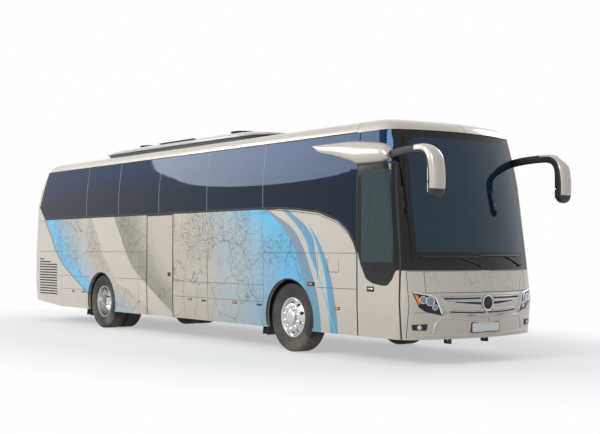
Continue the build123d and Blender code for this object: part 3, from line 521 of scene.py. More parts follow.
def finish(name, color, fill=None, **values):
    """A Principled material; fill gets its wires and shader and adds the detail."""
    if name in MADE:
        return MADE[name]
    material = bpy.data.materials.new(name + "_finish")
    material.use_nodes = True
    w = Wires(material.node_tree)
    shader = material.node_tree.nodes["Principled BSDF"]
    shader.inputs["Base Color"].default_value = color
    for key, value in values.items():
        shader.inputs[key.replace("_", " ").title().replace("Ior", "IOR")].default_value = value
    if fill:
        fill(w, shader)
    MADE[name] = material
    return material


MADE = {}
PAINT = linear(190, 182, 170)

# Edges of the side stripes: X from the front axle at each height
LIVERY = {
    "swoosh_rear": [(2.20, -8.690), (2.145, -8.639), (1.831, -8.354), (1.472, -8.049), (1.224, -7.753),
                    (1.024, -7.371), (0.735, -6.772), (0.30, -5.95)],
    "swoosh_front": [(2.20, -6.56), (2.111, -6.491), (1.752, -6.225), (1.477, -6.050), (1.171, -5.711),
                     (0.891, -5.381), (0.771, -4.985), (0.30, -3.95)],
    "khaki_rear": [(2.20, -5.60), (2.091, -5.523), (1.802, -5.317), (1.518, -5.114), (1.184, -4.799),
                   (0.901, -4.307), (0.630, -3.799), (0.435, -3.415), (0.30, -3.15)],
    "print_front": [(2.20, -0.64), (2.125, -0.553), (1.857, -0.138), (1.629, 0.088), (1.347, 0.237),
                    (1.084, 0.359), (0.80, 0.44), (0.30, 0.50)],
    "slate_front": [(2.20, -0.60), (2.123, -0.474), (1.884, 0.037), (1.599, 0.333), (1.306, 0.502),
                    (0.875, 0.691), (0.332, 0.763)],
    "second_rear": [(2.20, -0.32), (2.130, -0.165), (1.746, 0.356), (1.380, 0.572), (1.179, 0.702),
                    (0.30, 1.10)],
    "second_front": [(2.20, -0.16), (2.125, -0.014), (1.788, 0.523), (1.45, 0.655), (1.179, 0.702),
                     (0.30, 0.80)],
    "third_rear": [(2.20, 0.25), (1.891, 0.499), (1.353, 0.805), (0.813, 0.944), (0.331, 0.968)],
    "third_front": [(2.20, 0.10), (1.891, 0.499), (1.55, 0.800), (1.170, 0.988), (0.748, 1.101),
                    (0.342, 1.147)],
}


def livery():
    """The side print and stripes: each edge is a curve of X over Z, each area lies between two edges."""
    def fill(w, given):
        top, start, run = 2.4, -10.0, 12.0
        door_line, feather = -3.38, 0.005
        x, y, z, _ = w.place()
        x = w.math("SUBTRACT", x, AXLE_X)
        level = w.math("DIVIDE", z, top)

        def edge(name):
            node = w.node("FloatCurve")
            curve = node.mapping.curves[0]
            places = sorted((height / top, (place - start) / run) for height, place in LIVERY[name])
            curve.points[0].location, curve.points[1].location = places[0], places[-1]
            for place in places[1:-1]:
                curve.points.new(*place)
            node.mapping.update()
            w.put(node.inputs["Value"], level)
            return w.math("MULTIPLY_ADD", node.outputs[0], run, start)

        def after(line, shift=0.0):
            gap = w.math("SUBTRACT", x, line)
            return w.span(gap, shift - 0.004, shift + 0.004, False)

        def between(first, second):
            return w.math("MULTIPLY", first, w.math("SUBTRACT", 1.0, second))

        flat = w.node("CombineXYZ")
        w.put(flat.inputs[0], x)
        w.put(flat.inputs[2], z)
        warp = w.node("TexNoise")
        w.put(warp.inputs["Vector"], flat.outputs[0])
        warp.inputs["Scale"].default_value, warp.inputs["Detail"].default_value = 3.0, 4.0
        bent_place = w.node("VectorMath", operation="MULTIPLY_ADD")
        w.put(bent_place.inputs[0], warp.outputs[1])
        bent_place.inputs[1].default_value = (0.35, 0.35, 0.35)
        w.put(bent_place.inputs[2], flat.outputs[0])

        def veins(scale, width):
            cells = w.node("TexVoronoi", feature="DISTANCE_TO_EDGE")
            w.put(cells.inputs["Vector"], bent_place.outputs[0])
            cells.inputs["Scale"].default_value = scale
            return w.math("SUBTRACT", 1.0, w.span(cells.outputs[0], 0.0, width * scale))

        coarse = veins(1.6, 0.012)
        hair = w.math("MULTIPLY", veins(21.0, 0.004), 0.7)
        fine = w.math("MULTIPLY", w.math("MAXIMUM", veins(9.0, 0.006), hair),
                      w.span(w.noise(flat.outputs[0], 1.4, 2.0), 0.36, 0.54))
        upper = w.math("MULTIPLY_ADD", w.span(z, 0.9, 1.6), 0.65, 0.35)
        lines = w.math("MAXIMUM", w.math("MULTIPLY", fine, upper), w.math("MULTIPLY", coarse, 0.8))

        rear, front = edge("swoosh_rear"), edge("swoosh_front")
        swoosh = between(after(rear), after(front))
        share = w.math("DIVIDE", w.math("SUBTRACT", x, rear), w.math("SUBTRACT", front, rear), clamp=True)
        tone = w.mix(w.span(share, 0.10, 0.45), given["Cyan"], given["Pale"])
        tone = w.mix(w.span(share, 0.40, 0.85), tone, given["Beige"])
        color = w.mix(swoosh, given["Paint"], tone)
        color = w.mix(between(after(rear, -0.11), after(rear)), color, given["Slate"])
        khaki = edge("khaki_rear")
        khaki_share = w.math("SUBTRACT", x, khaki)
        past_door = w.span(x, door_line - feather, door_line + feather, False)
        beside = between(after(khaki), past_door)
        khaki_tone = w.mix(w.span(khaki_share, 0.35, 1.3), given["Khaki"], given["Beige"])
        color = w.mix(beside, color, khaki_tone)
        ahead = edge("print_front")
        print_area = between(past_door, after(ahead))
        print_share = w.math("DIVIDE", w.math("SUBTRACT", x, door_line),
                             w.math("SUBTRACT", ahead, door_line),
                             clamp=True)
        print_tone = w.mix(w.span(print_share, 0.15, 0.62), given["Beige"], given["Pale"])
        print_tone = w.mix(w.span(print_share, 0.55, 0.98), print_tone, given["Cyan"])
        low_down = w.math("SUBTRACT", 1.0, w.span(z, 0.5, 1.25))
        print_tone = w.mix(w.math("MULTIPLY", w.span(print_share, 0.5, 1.0), low_down), print_tone,
                           given["Teal"])
        color = w.mix(print_area, color, print_tone)
        printed = w.math("MAXIMUM", w.math("MAXIMUM", swoosh, print_area),
                         w.math("MULTIPLY", beside, w.math("SUBTRACT", 1.0, w.span(khaki_share, 0.5, 1.5))))
        ink = w.math("MULTIPLY", w.math("MULTIPLY", lines, printed), 0.80)
        color = w.mix(ink, color, given["Ink"])
        stripe = w.mix(w.span(z, 1.0, 1.8), given["Teal"], given["Slate"])
        color = w.mix(between(after(ahead), after(edge("slate_front"))), color, stripe)
        second = edge("second_rear")
        color = w.mix(between(after(second), after(edge("second_front"))), color, given["Teal"])
        third = edge("third_rear")
        third_area = between(after(third), after(edge("third_front")))
        color = w.mix(third_area, color, given["Teal"])
        for line in (second, third):
            thin = between(after(line, -0.016), after(line, 0.012))
            color = w.mix(w.math("MULTIPLY", thin, w.math("SUBTRACT", 1.0, w.span(z, 1.7, 1.95))), color,
                          given["Cyan"])
        outside = w.span(w.math("ABSOLUTE", y), 1.238, 1.244)
        return [w.mix(outside, given["Paint"], color), w.math("MULTIPLY", ink, outside)]

    colours = [("Paint", PAINT), ("Cyan", linear(72, 176, 216)), ("Pale", linear(156, 172, 178)),
               ("Beige", linear(182, 172, 157)), ("Khaki", linear(140, 134, 112)),
               ("Slate", linear(112, 132, 152)), ("Teal", linear(86, 140, 166)),
               ("Ink", linear(46, 44, 42))]
    return group("Side livery", [(label, "Color", value) for label, value in colours],
                 [("Color", "Color"), ("Ink", "Float")], fill)


def painted(name, with_livery=False, veined=False, color=None):
    """Metallic body paint under clear coat, with flakes, faint waviness and road dust low down."""
    def fill(w, shader):
        vector = w.vector()
        base = color or PAINT
        if with_livery:
            base = placed(w, livery(), paint=base)["Color"]
        if veined:
            cells = w.node("TexVoronoi", feature="DISTANCE_TO_EDGE")
            warp = w.node("VectorMath", operation="MULTIPLY_ADD")
            w.put(warp.inputs[0], w.node("TexNoise").outputs[1])
            w.put(warp.inputs[2], vector)
            warp.inputs[1].default_value = (0.2, 0.2, 0.2)
            w.put(cells.inputs["Vector"], warp.outputs[0])
            cells.inputs["Scale"].default_value = 9.0
            thread = w.math("SUBTRACT", 1.0, w.span(cells.outputs[0], 0.0, 0.05))
            patches = w.math("MULTIPLY", w.span(w.noise(vector, 2.2, 2.0), 0.45, 0.6), 0.45)
            base = w.mix(w.math("MULTIPLY", thread, patches), base, linear(60, 58, 55))
        dust = placed(w, dusty(), color=base, amount=0.35, height=0.85)
        flakes = w.noise(vector, 1400.0, 1.0)
        w.put(shader.inputs["Base Color"], w.mix(w.math("MULTIPLY", w.span(flakes, 0.55, 0.75), 0.12),
                                                 dust["Color"], (0.9, 0.88, 0.84, 1)))
        w.put(shader.inputs["Roughness"], w.math("MULTIPLY_ADD", dust["Mask"], 0.35, 0.34))
        w.put(shader.inputs["Normal"], w.bump(w.noise(vector, 3.0, 2.0), 0.06, 0.004))
    return finish(name, PAINT, fill, metallic=0.28, coat_weight=0.8, coat_roughness=0.06)


def moulded(name, color, rough=0.5, scale=300.0, bumpy=0.25, dust=0.25, **values):
    """Moulded plastic or rubber: fine grain, slight sheen changes and dust."""
    def fill(w, shader):
        tone = placed(w, dusty(), color=color, amount=dust, height=1.0)
        skin = placed(w, grain(), scale=scale)
        w.put(shader.inputs["Base Color"], tone["Color"])
        w.put(shader.inputs["Roughness"], w.math("MULTIPLY_ADD", skin["Mask"], 0.16, rough - 0.08))
        w.put(shader.inputs["Normal"], w.bump(skin["Height"], bumpy, 0.0006))
    return finish(name, color, fill, **values)


def metal(name, color, rough=0.25, scale=80.0, dust=0.1, bumpy=0.1, metallic=1.0):
    """Metal with cast or brushed unevenness and light soiling."""
    def fill(w, shader):
        tone = placed(w, dusty(), color=color, amount=dust, height=1.1)
        skin = placed(w, grain(), scale=scale)
        w.put(shader.inputs["Base Color"], tone["Color"])
        w.put(shader.inputs["Roughness"], w.math("MULTIPLY_ADD", skin["Mask"], 0.12, rough))
        w.put(shader.inputs["Normal"], w.bump(skin["Height"], bumpy, 0.0008))
    return finish(name, color, fill, metallic=metallic)


def pane(name, low, high, clear, rough=0.02, tint=(0.35, 0.6, 1.0, 1.0)):
    """Tinted glass, deeper blue towards its top as a painted reflection of the sky; faint ripple in its
    reflections.
    """
    def fill(w, shader):
        _, _, z, vector = w.place()
        # low to high between 2.35 m and 3.15 m: the upper colour is a painted sky reflection over the tint
        w.put(shader.inputs["Base Color"], w.mix(w.span(z, 2.35, 3.15), low, high))
        w.put(shader.inputs["Roughness"], w.math("MULTIPLY_ADD", w.noise(vector, 4.0), 0.02, rough))
        w.put(shader.inputs["Normal"], w.bump(w.noise(vector, 1.6, 1.0), 0.05, 0.004))
    return finish(name, low, fill, transmission_weight=clear, ior=1.5, specular_ior_level=0.22,
                  specular_tint=tint)


def lens(name, color, glow=0.0):
    """Ribbed lamp plastic: fine prisms in its height, clear depth under a gloss face."""
    def fill(w, shader):
        z = w.place()[2]
        prism = w.math("SINE", w.math("MULTIPLY", z, 900.0))
        shade = w.mix(w.math("MULTIPLY_ADD", prism, 0.12, 0.15), color, (0.02, 0.01, 0.01, 1))
        w.put(shader.inputs["Base Color"], shade)
        w.put(shader.inputs["Normal"], w.bump(prism, 0.3, 0.0008))
        if glow:
            w.put(shader.inputs["Emission Color"], shade)
    return finish(name, color, fill, roughness=0.12, coat_weight=1.0, emission_strength=glow)


def cloth(name, color, fleck):
    """Woven seat cloth with a fleck, soft sheen and worn lighter patches."""
    def fill(w, shader):
        vector = w.vector()
        threads = placed(w, weave(), color=color, fleck=fleck)
        worn = w.math("MULTIPLY", w.span(w.noise(vector, 6.0, 3.0), 0.5, 0.8), 0.25)
        w.put(shader.inputs["Base Color"], w.mix(worn, threads["Color"], (0.20, 0.22, 0.26, 1)))
        w.put(shader.inputs["Normal"], w.bump(threads["Height"], 0.4, 0.0008))
    return finish(name, color, fill, roughness=0.85, sheen_weight=0.4)


# Sizes and colours


class CoachColours(bpy.types.PropertyGroup):
    """Colours of the coach that a user would change."""
    paint: FloatVectorProperty(name="Body paint", description="Champagne metallic paint of the body",
                               size=4,
                               subtype="COLOR", min=0, max=1, default=PAINT)
    black: FloatVectorProperty(name="Black trim", description="Gloss black round the glass", size=4,
                               subtype="COLOR", min=0, max=1, default=linear(10, 11, 14))
    glass_low: FloatVectorProperty(name="Glass, lower", description="Tint of the side glass low down",
                                   size=4,
                                   subtype="COLOR", min=0, max=1, default=linear(12, 18, 30))
    # Upper glass colour: a painted reflection of the sky, laid over the tint towards the top of the panes
    glass_sky_reflection: FloatVectorProperty(name="Glass, upper", description="Tint of the side glass at its top",
                                    size=4,
                                    subtype="COLOR", min=0, max=1, default=linear(4, 38, 84))
    seat: FloatVectorProperty(name="Upholstery", description="Main colour of the seat cloth", size=4,
                              subtype="COLOR", min=0, max=1, default=linear(44, 66, 104))
    floor: FloatVectorProperty(name="Studio floor", description="Colour of the floor and backdrop", size=4,
                               subtype="COLOR", min=0, max=1, default=linear(236, 236, 234))


class CoachSizes(bpy.types.PropertyGroup):
    """Sizes of the trim that a user would change."""
    pane: FloatProperty(name="Pane", description="Thickness of every pane", default=0.008, unit="LENGTH")
    seam: FloatProperty(name="Seam", description="Width of the dark seams drawn on fixed panels",
                        default=0.007,
                        unit="LENGTH")
    moulding: FloatProperty(name="Moulding", description="Width of the black moulding below the glass",
                            default=0.034, unit="LENGTH")
    tread: FloatProperty(name="Tread", description="Depth of the tyre grooves", default=0.012,
                         unit="LENGTH")
    pile: FloatProperty(name="Cushion swell", description="How far a seat cushion may swell", default=0.014,
                        unit="LENGTH")
    nuts: IntProperty(name="Wheel nuts", description="Nuts on each wheel", default=10, min=3, max=16)


def colour(name):
    return tuple(getattr(bpy.context.scene.coach_colours, name))


def size(name):
    return getattr(bpy.context.scene.coach_sizes, name)


# Shared finishes


def black_gloss():
    """Gloss black paint with a thin clear coat and a faint wave in its reflections."""
    def fill(w, shader):
        vector = w.vector()
        dust = placed(w, dusty(), color=colour("black"), amount=0.15, height=1.6)
        w.put(shader.inputs["Base Color"], dust["Color"])
        w.put(shader.inputs["Roughness"], w.math("MULTIPLY_ADD", w.noise(vector, 12.0), 0.10, 0.08))
        w.put(shader.inputs["Normal"], w.bump(w.noise(vector, 2.0, 1.0), 0.04, 0.004))
    return finish("black_gloss", colour("black"), fill, specular_ior_level=0.25, coat_weight=0.12,
                  coat_roughness=0.04)


def rubber():
    return moulded("rubber", linear(24, 24, 25), 0.62, 220.0, 0.2, 0.3)


def dark_plastic():
    return moulded("dark_plastic", linear(34, 35, 37), 0.5, 320.0, 0.25, 0.3)


def body_paint():
    return painted("body_paint", color=colour("paint"))


def side_paint():
    return painted("side_paint", with_livery=True, color=colour("paint"))


def chrome():
    return metal("chrome", linear(214, 216, 220), 0.10, 30.0, 0.15, 0.05)


def side_tint():
    # tinted glass that turns bluer towards its top: a painted sky reflection
    return pane("side_tint", colour("glass_low"), colour("glass_sky_reflection"), 0.45)


def seam_shadow():
    return moulded("seam_shadow", linear(14, 14, 15), 0.7, 200.0, 0.1, 0.15)


def area(chain_low, chain_high, xs, rows=10):
    """A patch of X and Z between a lower and an upper line: rows are even shares of each column's height."""
    low = np.interp(xs, *np.asarray(chain_low, float).T)
    high = np.interp(xs, *np.asarray(chain_high, float).T)
    t = np.linspace(0, 1, rows)
    return np.stack([np.repeat(xs[:, None], rows, 1), low[:, None] + (high - low)[:, None] * t], axis=-1)


def across(low_z, high_z, left, right, rows=24, columns=8):
    """A patch of X or Y and Z between a left and a right line, both given against Z, in level rows."""
    z = np.linspace(low_z, high_z, rows)
    left, right = np.asarray(left, float), np.asarray(right, float)
    a, b = np.interp(z, left[:, 1], left[:, 0]), np.interp(z, right[:, 1], right[:, 0])
    t = np.linspace(0, 1, columns)
    return np.stack([a[:, None] + (b - a)[:, None] * t, np.repeat(z[:, None], columns, 1)], axis=-1)


def side_slab(flat, side, depth, proud=0.0):
    return slab(on_side(flat, side, proud), on_side(flat, side, proud - depth))


def band(outer, inner, place, depth, rings):
    """A band between two outlines of as many points: rings pass from one to the other on both faces."""
    t = np.linspace(0, 1, rings)[:, None, None]
    flat = outer[None] * (1 - t) + inner[None] * t
    top, back = place(flat, 0.0), place(flat, -depth)
    return joined([grid(top, (False, True)), grid(back, (False, True)),
                   grid(np.stack([top[0], back[0]]), (False, True)),
                   grid(np.stack([top[-1], back[-1]]), (False, True))])


def filled(ring, middle, place, depth, rings=26):
    """A pane inside an outline: rings shrink to its middle on both faces, and a band closes the edge."""
    s = np.linspace(1, 0, rings)[:, None, None]
    flat = np.asarray(middle) + s * (ring - middle)[None]
    return joined([grid(place(flat, 0.0), (False, True)), grid(place(flat, -depth), (False, True)),
                   grid(np.stack([place(ring, 0.0), place(ring, -depth)]), (False, True))])


# Operators


class COACH_OT_finishes(bpy.types.Operator):
    """Gives every carried-over node its procedural finish."""
    bl_idname = "coach.finishes"
    bl_label = "Node finishes"

    def execute(self, context):
        cast = metal("cast_iron", linear(70, 70, 72), 0.55, 60.0, 0.6, 0.3, 0.7)
        frame_paint = moulded("frame_paint", linear(38, 39, 41), 0.6, 70.0, 0.3, 0.7)
        alloy = metal("alloy", linear(206, 206, 205), 0.20, 90.0, 0.12, 0.06)
        board = moulded("floor_covering", linear(92, 94, 98), 0.7, 140.0, 0.3, 0.1)
        pale = moulded("pale_plastic", linear(186, 184, 178), 0.5, 260.0, 0.15, 0.05)
        cab = moulded("cab_plastic", linear(58, 60, 66), 0.55, 260.0, 0.25, 0.05)
        lamp = lens("red_lens", linear(150, 14, 12))
        table = {
            side_paint(): ["waist_panels", "skirt_panels", "middle_door", "luggage_flap_right_front",
                           "luggage_flap_right_rear", "equipment_flap_right", "luggage_flap_left_front",
                           "luggage_flap_left_middle", "luggage_flap_left_rear", "equipment_flap_left",
                           "filler_flap", "side_louvres", "front_door"],
            body_paint(): ["rear_shell", "front_mask", "engine_lid", "grille"],
            painted("bonnet_paint", veined=True, color=colour("paint")): ["bonnet_flap"],
            black_gloss(): ["screen_frame", "window_pillars"],
            dark_plastic(): ["wheel_arch_liners", "wipers"],
            board: ["floor_structure", "cockpit_floor"],
            frame_paint: ["underframe"],
            cast: ["engine_block", "front_axle_beam", "rear_axle_housing", "knuckle_right", "knuckle_left"],
            alloy: ["front_rim_right", "front_rim_left", "rear_rims_right", "rear_rims_left"],
            pale: ["luggage_racks"],
            cab: ["dashboard", "steering_wheel", "front_door_arm", "middle_door_arm"],
            lamp: ["tail_lamps"],
        }
        for material, names in table.items():
            for name in names:
                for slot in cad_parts[name].material_slots:
                    slot.material = material
        return {"FINISHED"}


class COACH_OT_side_glass(bpy.types.Operator):
    """Side panes: columns run over X, and each column has even steps between the lower and upper outline."""
    bl_idname = "coach.side_glass"
    bl_label = "Side glass"

    def execute(self, context):
        low = [(-8.982, 2.425), (-8.717, 2.171), (-0.655, 2.171), (0.236, 2.137), (0.712, 2.087),
               (1.166, 1.954),
               (1.400, 1.795), (1.565, 1.500)]
        high = [(-8.982, 2.4255), (-8.690, 3.162), (1.565, 3.162)]
        ends = [-8.982] + list(PILLARS) + [1.565]
        patches = []
        bars = []
        joint = 0.0055
        for side in (-1, 1):
            for a, b in zip(ends, ends[1:]):
                knots = [p[0] for p in low + high if a < p[0] < b]
                xs = np.unique(np.concatenate([np.linspace(a + 0.003, b - 0.003, 17), knots]))
                patches.append(side_slab(area(low, high, xs, 14), side, size("pane")))
            for place in PILLARS:
                flat = across(2.176, 3.158, [(place - joint, 0), (place - joint, 4)],
                              [(place + joint, 0), (place + joint, 4)], 14, 3)
                bars.append(side_slab(flat, side, 0.006, 0.0006))
        upright = [(1.577, 0), (1.577, 4)]
        lean = [(2.430, 1.4), (2.287, 2.700), (2.150, 3.165)]
        driver = across(1.500, 3.162, upright, [(p - 0.004, z) for p, z in lean], 20, 9)
        above_door = across(2.716, 3.162, upright, [(p - 0.006, z) for p, z in lean[1:]], 8, 9)
        patches.append(side_slab(driver, 1, size("pane")))
        patches.append(side_slab(above_door, -1, size("pane")))
        make("side_panes", patches, "coach", side_tint(), replaces=("side_glass",),
             angle=50)
        make("pane_joints", bars, "coach", moulded("pane_sealant", linear(132, 142, 150), 0.5, 300.0))
        return {"FINISHED"}


class COACH_OT_windscreen(bpy.types.Operator):
    """Windscreen and its black edge: level rows follow the bow of the front between two side lines."""
    bl_idname = "coach.windscreen"
    bl_label = "Windscreen"

    def execute(self, context):
        edge = np.array([(1.120, 1.404), (1.125, 2.250), (1.085, 2.850), (1.045, 3.060), (0.960, 3.150)])
        inner = np.array([(1.050, 1.500), (1.052, 2.250), (1.015, 2.850), (0.980, 2.990), (0.905, 3.060)])

        def ring(points):
            return rounded(np.vstack([points, (points * (-1, 1))[::-1]]), 160, 0.03)

        outer_ring, inner_ring = ring(edge), ring(inner)
        a, b = resampled(outer_ring, 160, True), resampled(inner_ring, 160, True)
        b = np.roll(b, -np.argmin(np.linalg.norm(b - a[0], axis=1)), axis=0)
        make("windscreen_edge", band(a, b, on_front, size("pane"), 5), "coach", black_gloss(),
             replaces=("windscreen",))
        # the windscreen turns bluer towards its top: a painted sky reflection over its tint
        make("windscreen_pane", filled(inner_ring, (0.0, 2.25), on_front, size("pane")), "coach",
             pane("screen_tint", linear(40, 78, 104), linear(24, 70, 112), 0.80, tint=(0.7, 0.9, 1.0, 1.0)),
             replaces=("windscreen",))
        return {"FINISHED"}


class COACH_OT_front_door_glass(bpy.types.Operator):
    """Door pane: a black band between its outline and its window, and the clear window inside the band."""
    bl_idname = "coach.front_door_glass"
    bl_label = "Front door glass"

    def execute(self, context):
        outline = np.array([(1.584, 1.541), (1.650, 1.332), (1.770, 1.133), (1.900, 1.075), (2.080, 1.051),
                            (2.182, 1.051), (2.280, 1.133), (2.347, 1.252), (2.413, 1.265), (2.412, 1.400),
                            (2.272, 2.696), (1.584, 2.696)])
        window = np.array([(1.662, 1.362), (2.308, 1.362), (2.308, 1.700), (2.223, 2.618), (1.662, 2.618)])

        def place(flat, lift):
            return on_side(flat, -1, lift)

        a = rounded(outline, 140, 0.012)
        b = rounded(window, 140, 0.03)
        centre = np.array([1.96, 1.95])
        for ring in (a, b):
            turn = np.arctan2(*(ring - centre).T)
            ring[:] = ring[np.argsort(turn)]
        make("front_door_edge", band(a, b, place, size("pane"), 7), "front_door", black_gloss(),
             replaces=("front_door_glass",))
        # the door window turns bluer towards its top: a painted sky reflection over its tint
        make("front_door_window", filled(b, centre, place, size("pane"), 16), "front_door",
             pane("door_tint", linear(88, 112, 112), linear(64, 112, 140), 0.85, tint=(0.7, 0.9, 1.0, 1.0)),
             replaces=("front_door_glass",))
        return {"FINISHED"}


class COACH_OT_rear_window(bpy.types.Operator):
    """Rear window: rings shrink from its outline to the middle and follow the bow of the rear."""
    bl_idname = "coach.rear_window"
    bl_label = "Rear window"

    def execute(self, context):
        ring = rounded([(-0.94, 2.252), (0.94, 2.252), (0.998, 2.32), (0.958, 2.90), (0.878, 2.988),
                        (-0.878, 2.988), (-0.958, 2.90), (-0.998, 2.32)], 160, 0.03)

        def place(points, lift):
            return on_front(points, lift, False)

        make("rear_pane", filled(ring, (0.0, 2.62), place, size("pane")), "coach", side_tint(),
             replaces=("rear_window",))
        closed = np.vstack([ring, ring[:1]])
        make("rear_window_seal", front_strip(closed, 0.022, 0.003, False), "coach", rubber())
        return {"FINISHED"}


def plan_rings(levels, half_scale, start_x, front, side_count=40, end_count=49):
    """Level rings of the roof: straight along each side, then round the end by the sine of an angle."""
    rings = []
    a = np.sin(np.linspace(-np.pi / 2, np.pi / 2, end_count))
    for z, k in zip(levels, half_scale):
        half = float(section(z, HALF))
        y = half * a
        x = end_x(y, np.full_like(y, z), front)
        line = np.linspace(AXLE_X + start_x, x[0], side_count)[:-1]
        ring = np.concatenate([np.stack([line, 0 * line - half], 1), np.stack([x, y], 1),
                               np.stack([line[::-1], 0 * line + half], 1)])
        end = AXLE_X + (0.475 if front else -7.4)
        ring[:, 1] *= k
        if k < 1:
            drawn_in = end + (ring[:, 0] - end) * (0.35 + 0.65 * k)
            ring[:, 0] = np.where((ring[:, 0] > end) == front, drawn_in, ring[:, 0])
            ring[0, 0] = ring[-1, 0] = AXLE_X + start_x
        rings.append(np.concatenate([ring, np.full((len(ring), 1), z)], axis=1))
    return np.stack(rings)


class COACH_OT_roof(bpy.types.Operator):
    """Roof skin and front cap: level rings of the body's outline, closed over the crown."""
    bl_idname = "coach.roof"
    bl_label = "Roof"

    def execute(self, context):
        z = np.array([3.165, 3.19, 3.215, 3.24, 3.262, 3.283, 3.305, 3.322, 3.337, 3.350, 3.360, 3.367,
                      3.370])
        levels = np.concatenate([z, [3.370] * 5])
        scales = np.concatenate([np.ones(len(z)), [0.8, 0.6, 0.4, 0.2, 0.0]])
        for name, start, front, node in (("roof_skin_shell", 1.499, False, "roof_skin"),
                                         ("roof_cap_shell", 1.503, True, "roof_front_cap")):
            rings = plan_rings(levels, scales, start, front)
            inner = rings.copy()
            inner[..., 2] -= 0.012
            inner[..., 1] *= 0.99
            inner[0, :, 2] = rings[0, :, 2]
            patches = [grid(rings), grid(inner), grid(np.stack([rings[0], inner[0]])),
                       grid(np.stack([rings[:, 0], inner[:, 0]])),
                       grid(np.stack([rings[:, -1], inner[:, -1]]))]
            make(name, patches, "coach", body_paint(), replaces=(node,), angle=60)
        return {"FINISHED"}


class COACH_OT_roof_unit(bpy.types.Operator):
    """Roof unit: a superellipse in plan whose height follows (1 - r ** 6), with a dark band below its edge as
    painted shade in the gap.
    """
    bl_idname = "coach.roof_unit"
    bl_label = "Roof unit"

    def execute(self, context):
        rear, front, half = -6.830, -1.130, 0.990
        centre, long_half = (rear + front) / 2, (front - rear) / 2
        a = np.linspace(0, 2 * np.pi, 128, endpoint=False)
        c = np.sign(np.cos(a)) * np.abs(np.cos(a)) ** (2 / 7)
        s = np.sign(np.sin(a)) * np.abs(np.sin(a)) ** (2 / 7)
        r = np.concatenate([np.linspace(0, 0.85, 10), [0.90, 0.94, 0.97, 0.99, 1.0]])[:, None]
        x, y = AXLE_X + centre + r * c * long_half, r * s * half
        z = 3.432 + 0.143 * (1 - r ** 2.6) ** 0.8 + 0 * x
        wave = np.cos(2 * np.pi * (x - AXLE_X) / 0.95)
        rib = 0.004 * np.clip(wave * 8 - 6.6, 0, 1) * np.clip(4 * (1 - r), 0, 1)
        top = np.stack([x, y, z - rib], axis=-1)

        def level(scale, height):
            return np.stack([AXLE_X + centre + scale * c * long_half, scale * s * half, 0 * c + height], -1)

        skirt = np.stack([level(1.0, 3.425), level(1.0, 3.405), level(0.985, 3.400), level(0.0, 3.400)])
        make("roof_unit_cover", grid(np.concatenate([top, skirt]), (False, True)), "coach",
             painted("pod_paint", color=linear(166, 163, 160)), replaces=("roof_unit",),
             angle=50)
        # Dark band under the cover's edge: painted shade in the gap between the unit and the roof
        gap_band = [level(0.0, 3.402), level(0.975, 3.402), level(0.975, 3.34), level(0.0, 3.34)]
        make("roof_unit_base", grid(np.stack(gap_band), (False, True)), "coach", dark_plastic(),
             replaces=("roof_unit",), angle=30)
        fins = [box((AXLE_X + x0, side * 0.70 - 0.16, 3.500), (AXLE_X + x0 + 0.012, side * 0.70 + 0.16,
                                                               3.512))
                for x0 in np.arange(-4.6, -3.4, 0.036) for side in (-1, 1)]
        make("roof_unit_fins", fins, "coach", dark_plastic(), smooth=False)
        fans = []
        for x0 in (-5.6, -2.4):
            for side in (-1, 1):
                profile = [(0.215, 0.0), (0.225, 0.016), (0.205, 0.020), (0.190, 0.012), (0.190, 0.0)]
                rim = turned(profile, (AXLE_X + x0, side * 0.45, 3.545), (0, 0, 1), 40)
                fans.append(grid(rim, (True, False)))
                for k in range(6):
                    angle = k * math.pi / 6
                    way = np.array([math.cos(angle), math.sin(angle), 0]) * 0.2
                    middle = np.array([AXLE_X + x0, side * 0.45, 3.556])
                    line = np.stack([middle - way, middle, middle + way])
                    fans.append(swept(line, 0.006, 0.003, (0, 0, 1)))
        make("roof_unit_fans", fans, "coach", dark_plastic(), angle=35)
        antenna = swept([(AXLE_X + 0.70, 0, 3.362), (AXLE_X + 0.67, 0, 3.40), (AXLE_X + 0.62, 0, 3.43)],
                        [0.012, 0.010, 0.004], [0.06, 0.04, 0.012])
        hatch = [box((AXLE_X + x0 - 0.36, -0.36, 3.366), (AXLE_X + x0 + 0.36, 0.36, 3.398), 0.014)
                 for x0 in (-0.25, -7.55)]
        make("roof_antenna", antenna, "coach", dark_plastic())
        make("roof_hatches", hatch, "coach", moulded("hatch_plastic", linear(60, 66, 72), 0.3, 200.0))
        return {"FINISHED"}


class COACH_OT_mouldings(bpy.types.Operator):
    """Black mouldings and door seals: strips of a crowned width carried along lines on the side."""
    bl_idname = "coach.mouldings"
    bl_label = "Mouldings and seals"

    def execute(self, context):
        low = [(-8.70, 2.166), (-0.70, 2.166), (-0.20, 2.158), (0.236, 2.130), (0.712, 2.080),
               (1.166, 1.947),
               (1.400, 1.788), (1.500, 1.650), (1.570, 1.490)]
        steps, plain_steps = 190, 88
        strips, thin = [], []
        for side in (-1, 1):
            path = rounded(low, steps, 0.10, False)
            strips.append(side_strip(path, side, size("moulding"), 0.005))
            below = path.copy()
            parting = np.clip((path[:, 0] + 0.9) / 0.8, 0, 1)
            closing = np.clip((1.62 - path[:, 0]) / 0.2, 0, 1)
            below[:, 1] -= 0.040 * parting * closing
            thin.append(side_strip(below[plain_steps:], side, 0.010, 0.004))
            top = rounded([(-8.70, 3.168), (1.50, 3.168)], 80, 0.02, False)
            strips.append(side_strip(top, side, 0.016, 0.003))
        door = rounded([(1.574, 0.350), (1.574, 2.706), (2.281, 2.706), (2.422, 1.400), (2.431, 0.350)],
                       220, 0.03, False)
        strips.append(side_strip(door, -1, 0.026, 0.0045))
        middle = rounded([(-4.286, 0.350), (-4.286, 2.142), (-3.374, 2.142), (-3.374, 0.350)], 200, 0.02,
                         False)
        strips.append(side_strip(middle, -1, 0.024, 0.0045))
        make("side_mouldings", strips + thin, "coach", rubber(), angle=50)
        return {"FINISHED"}


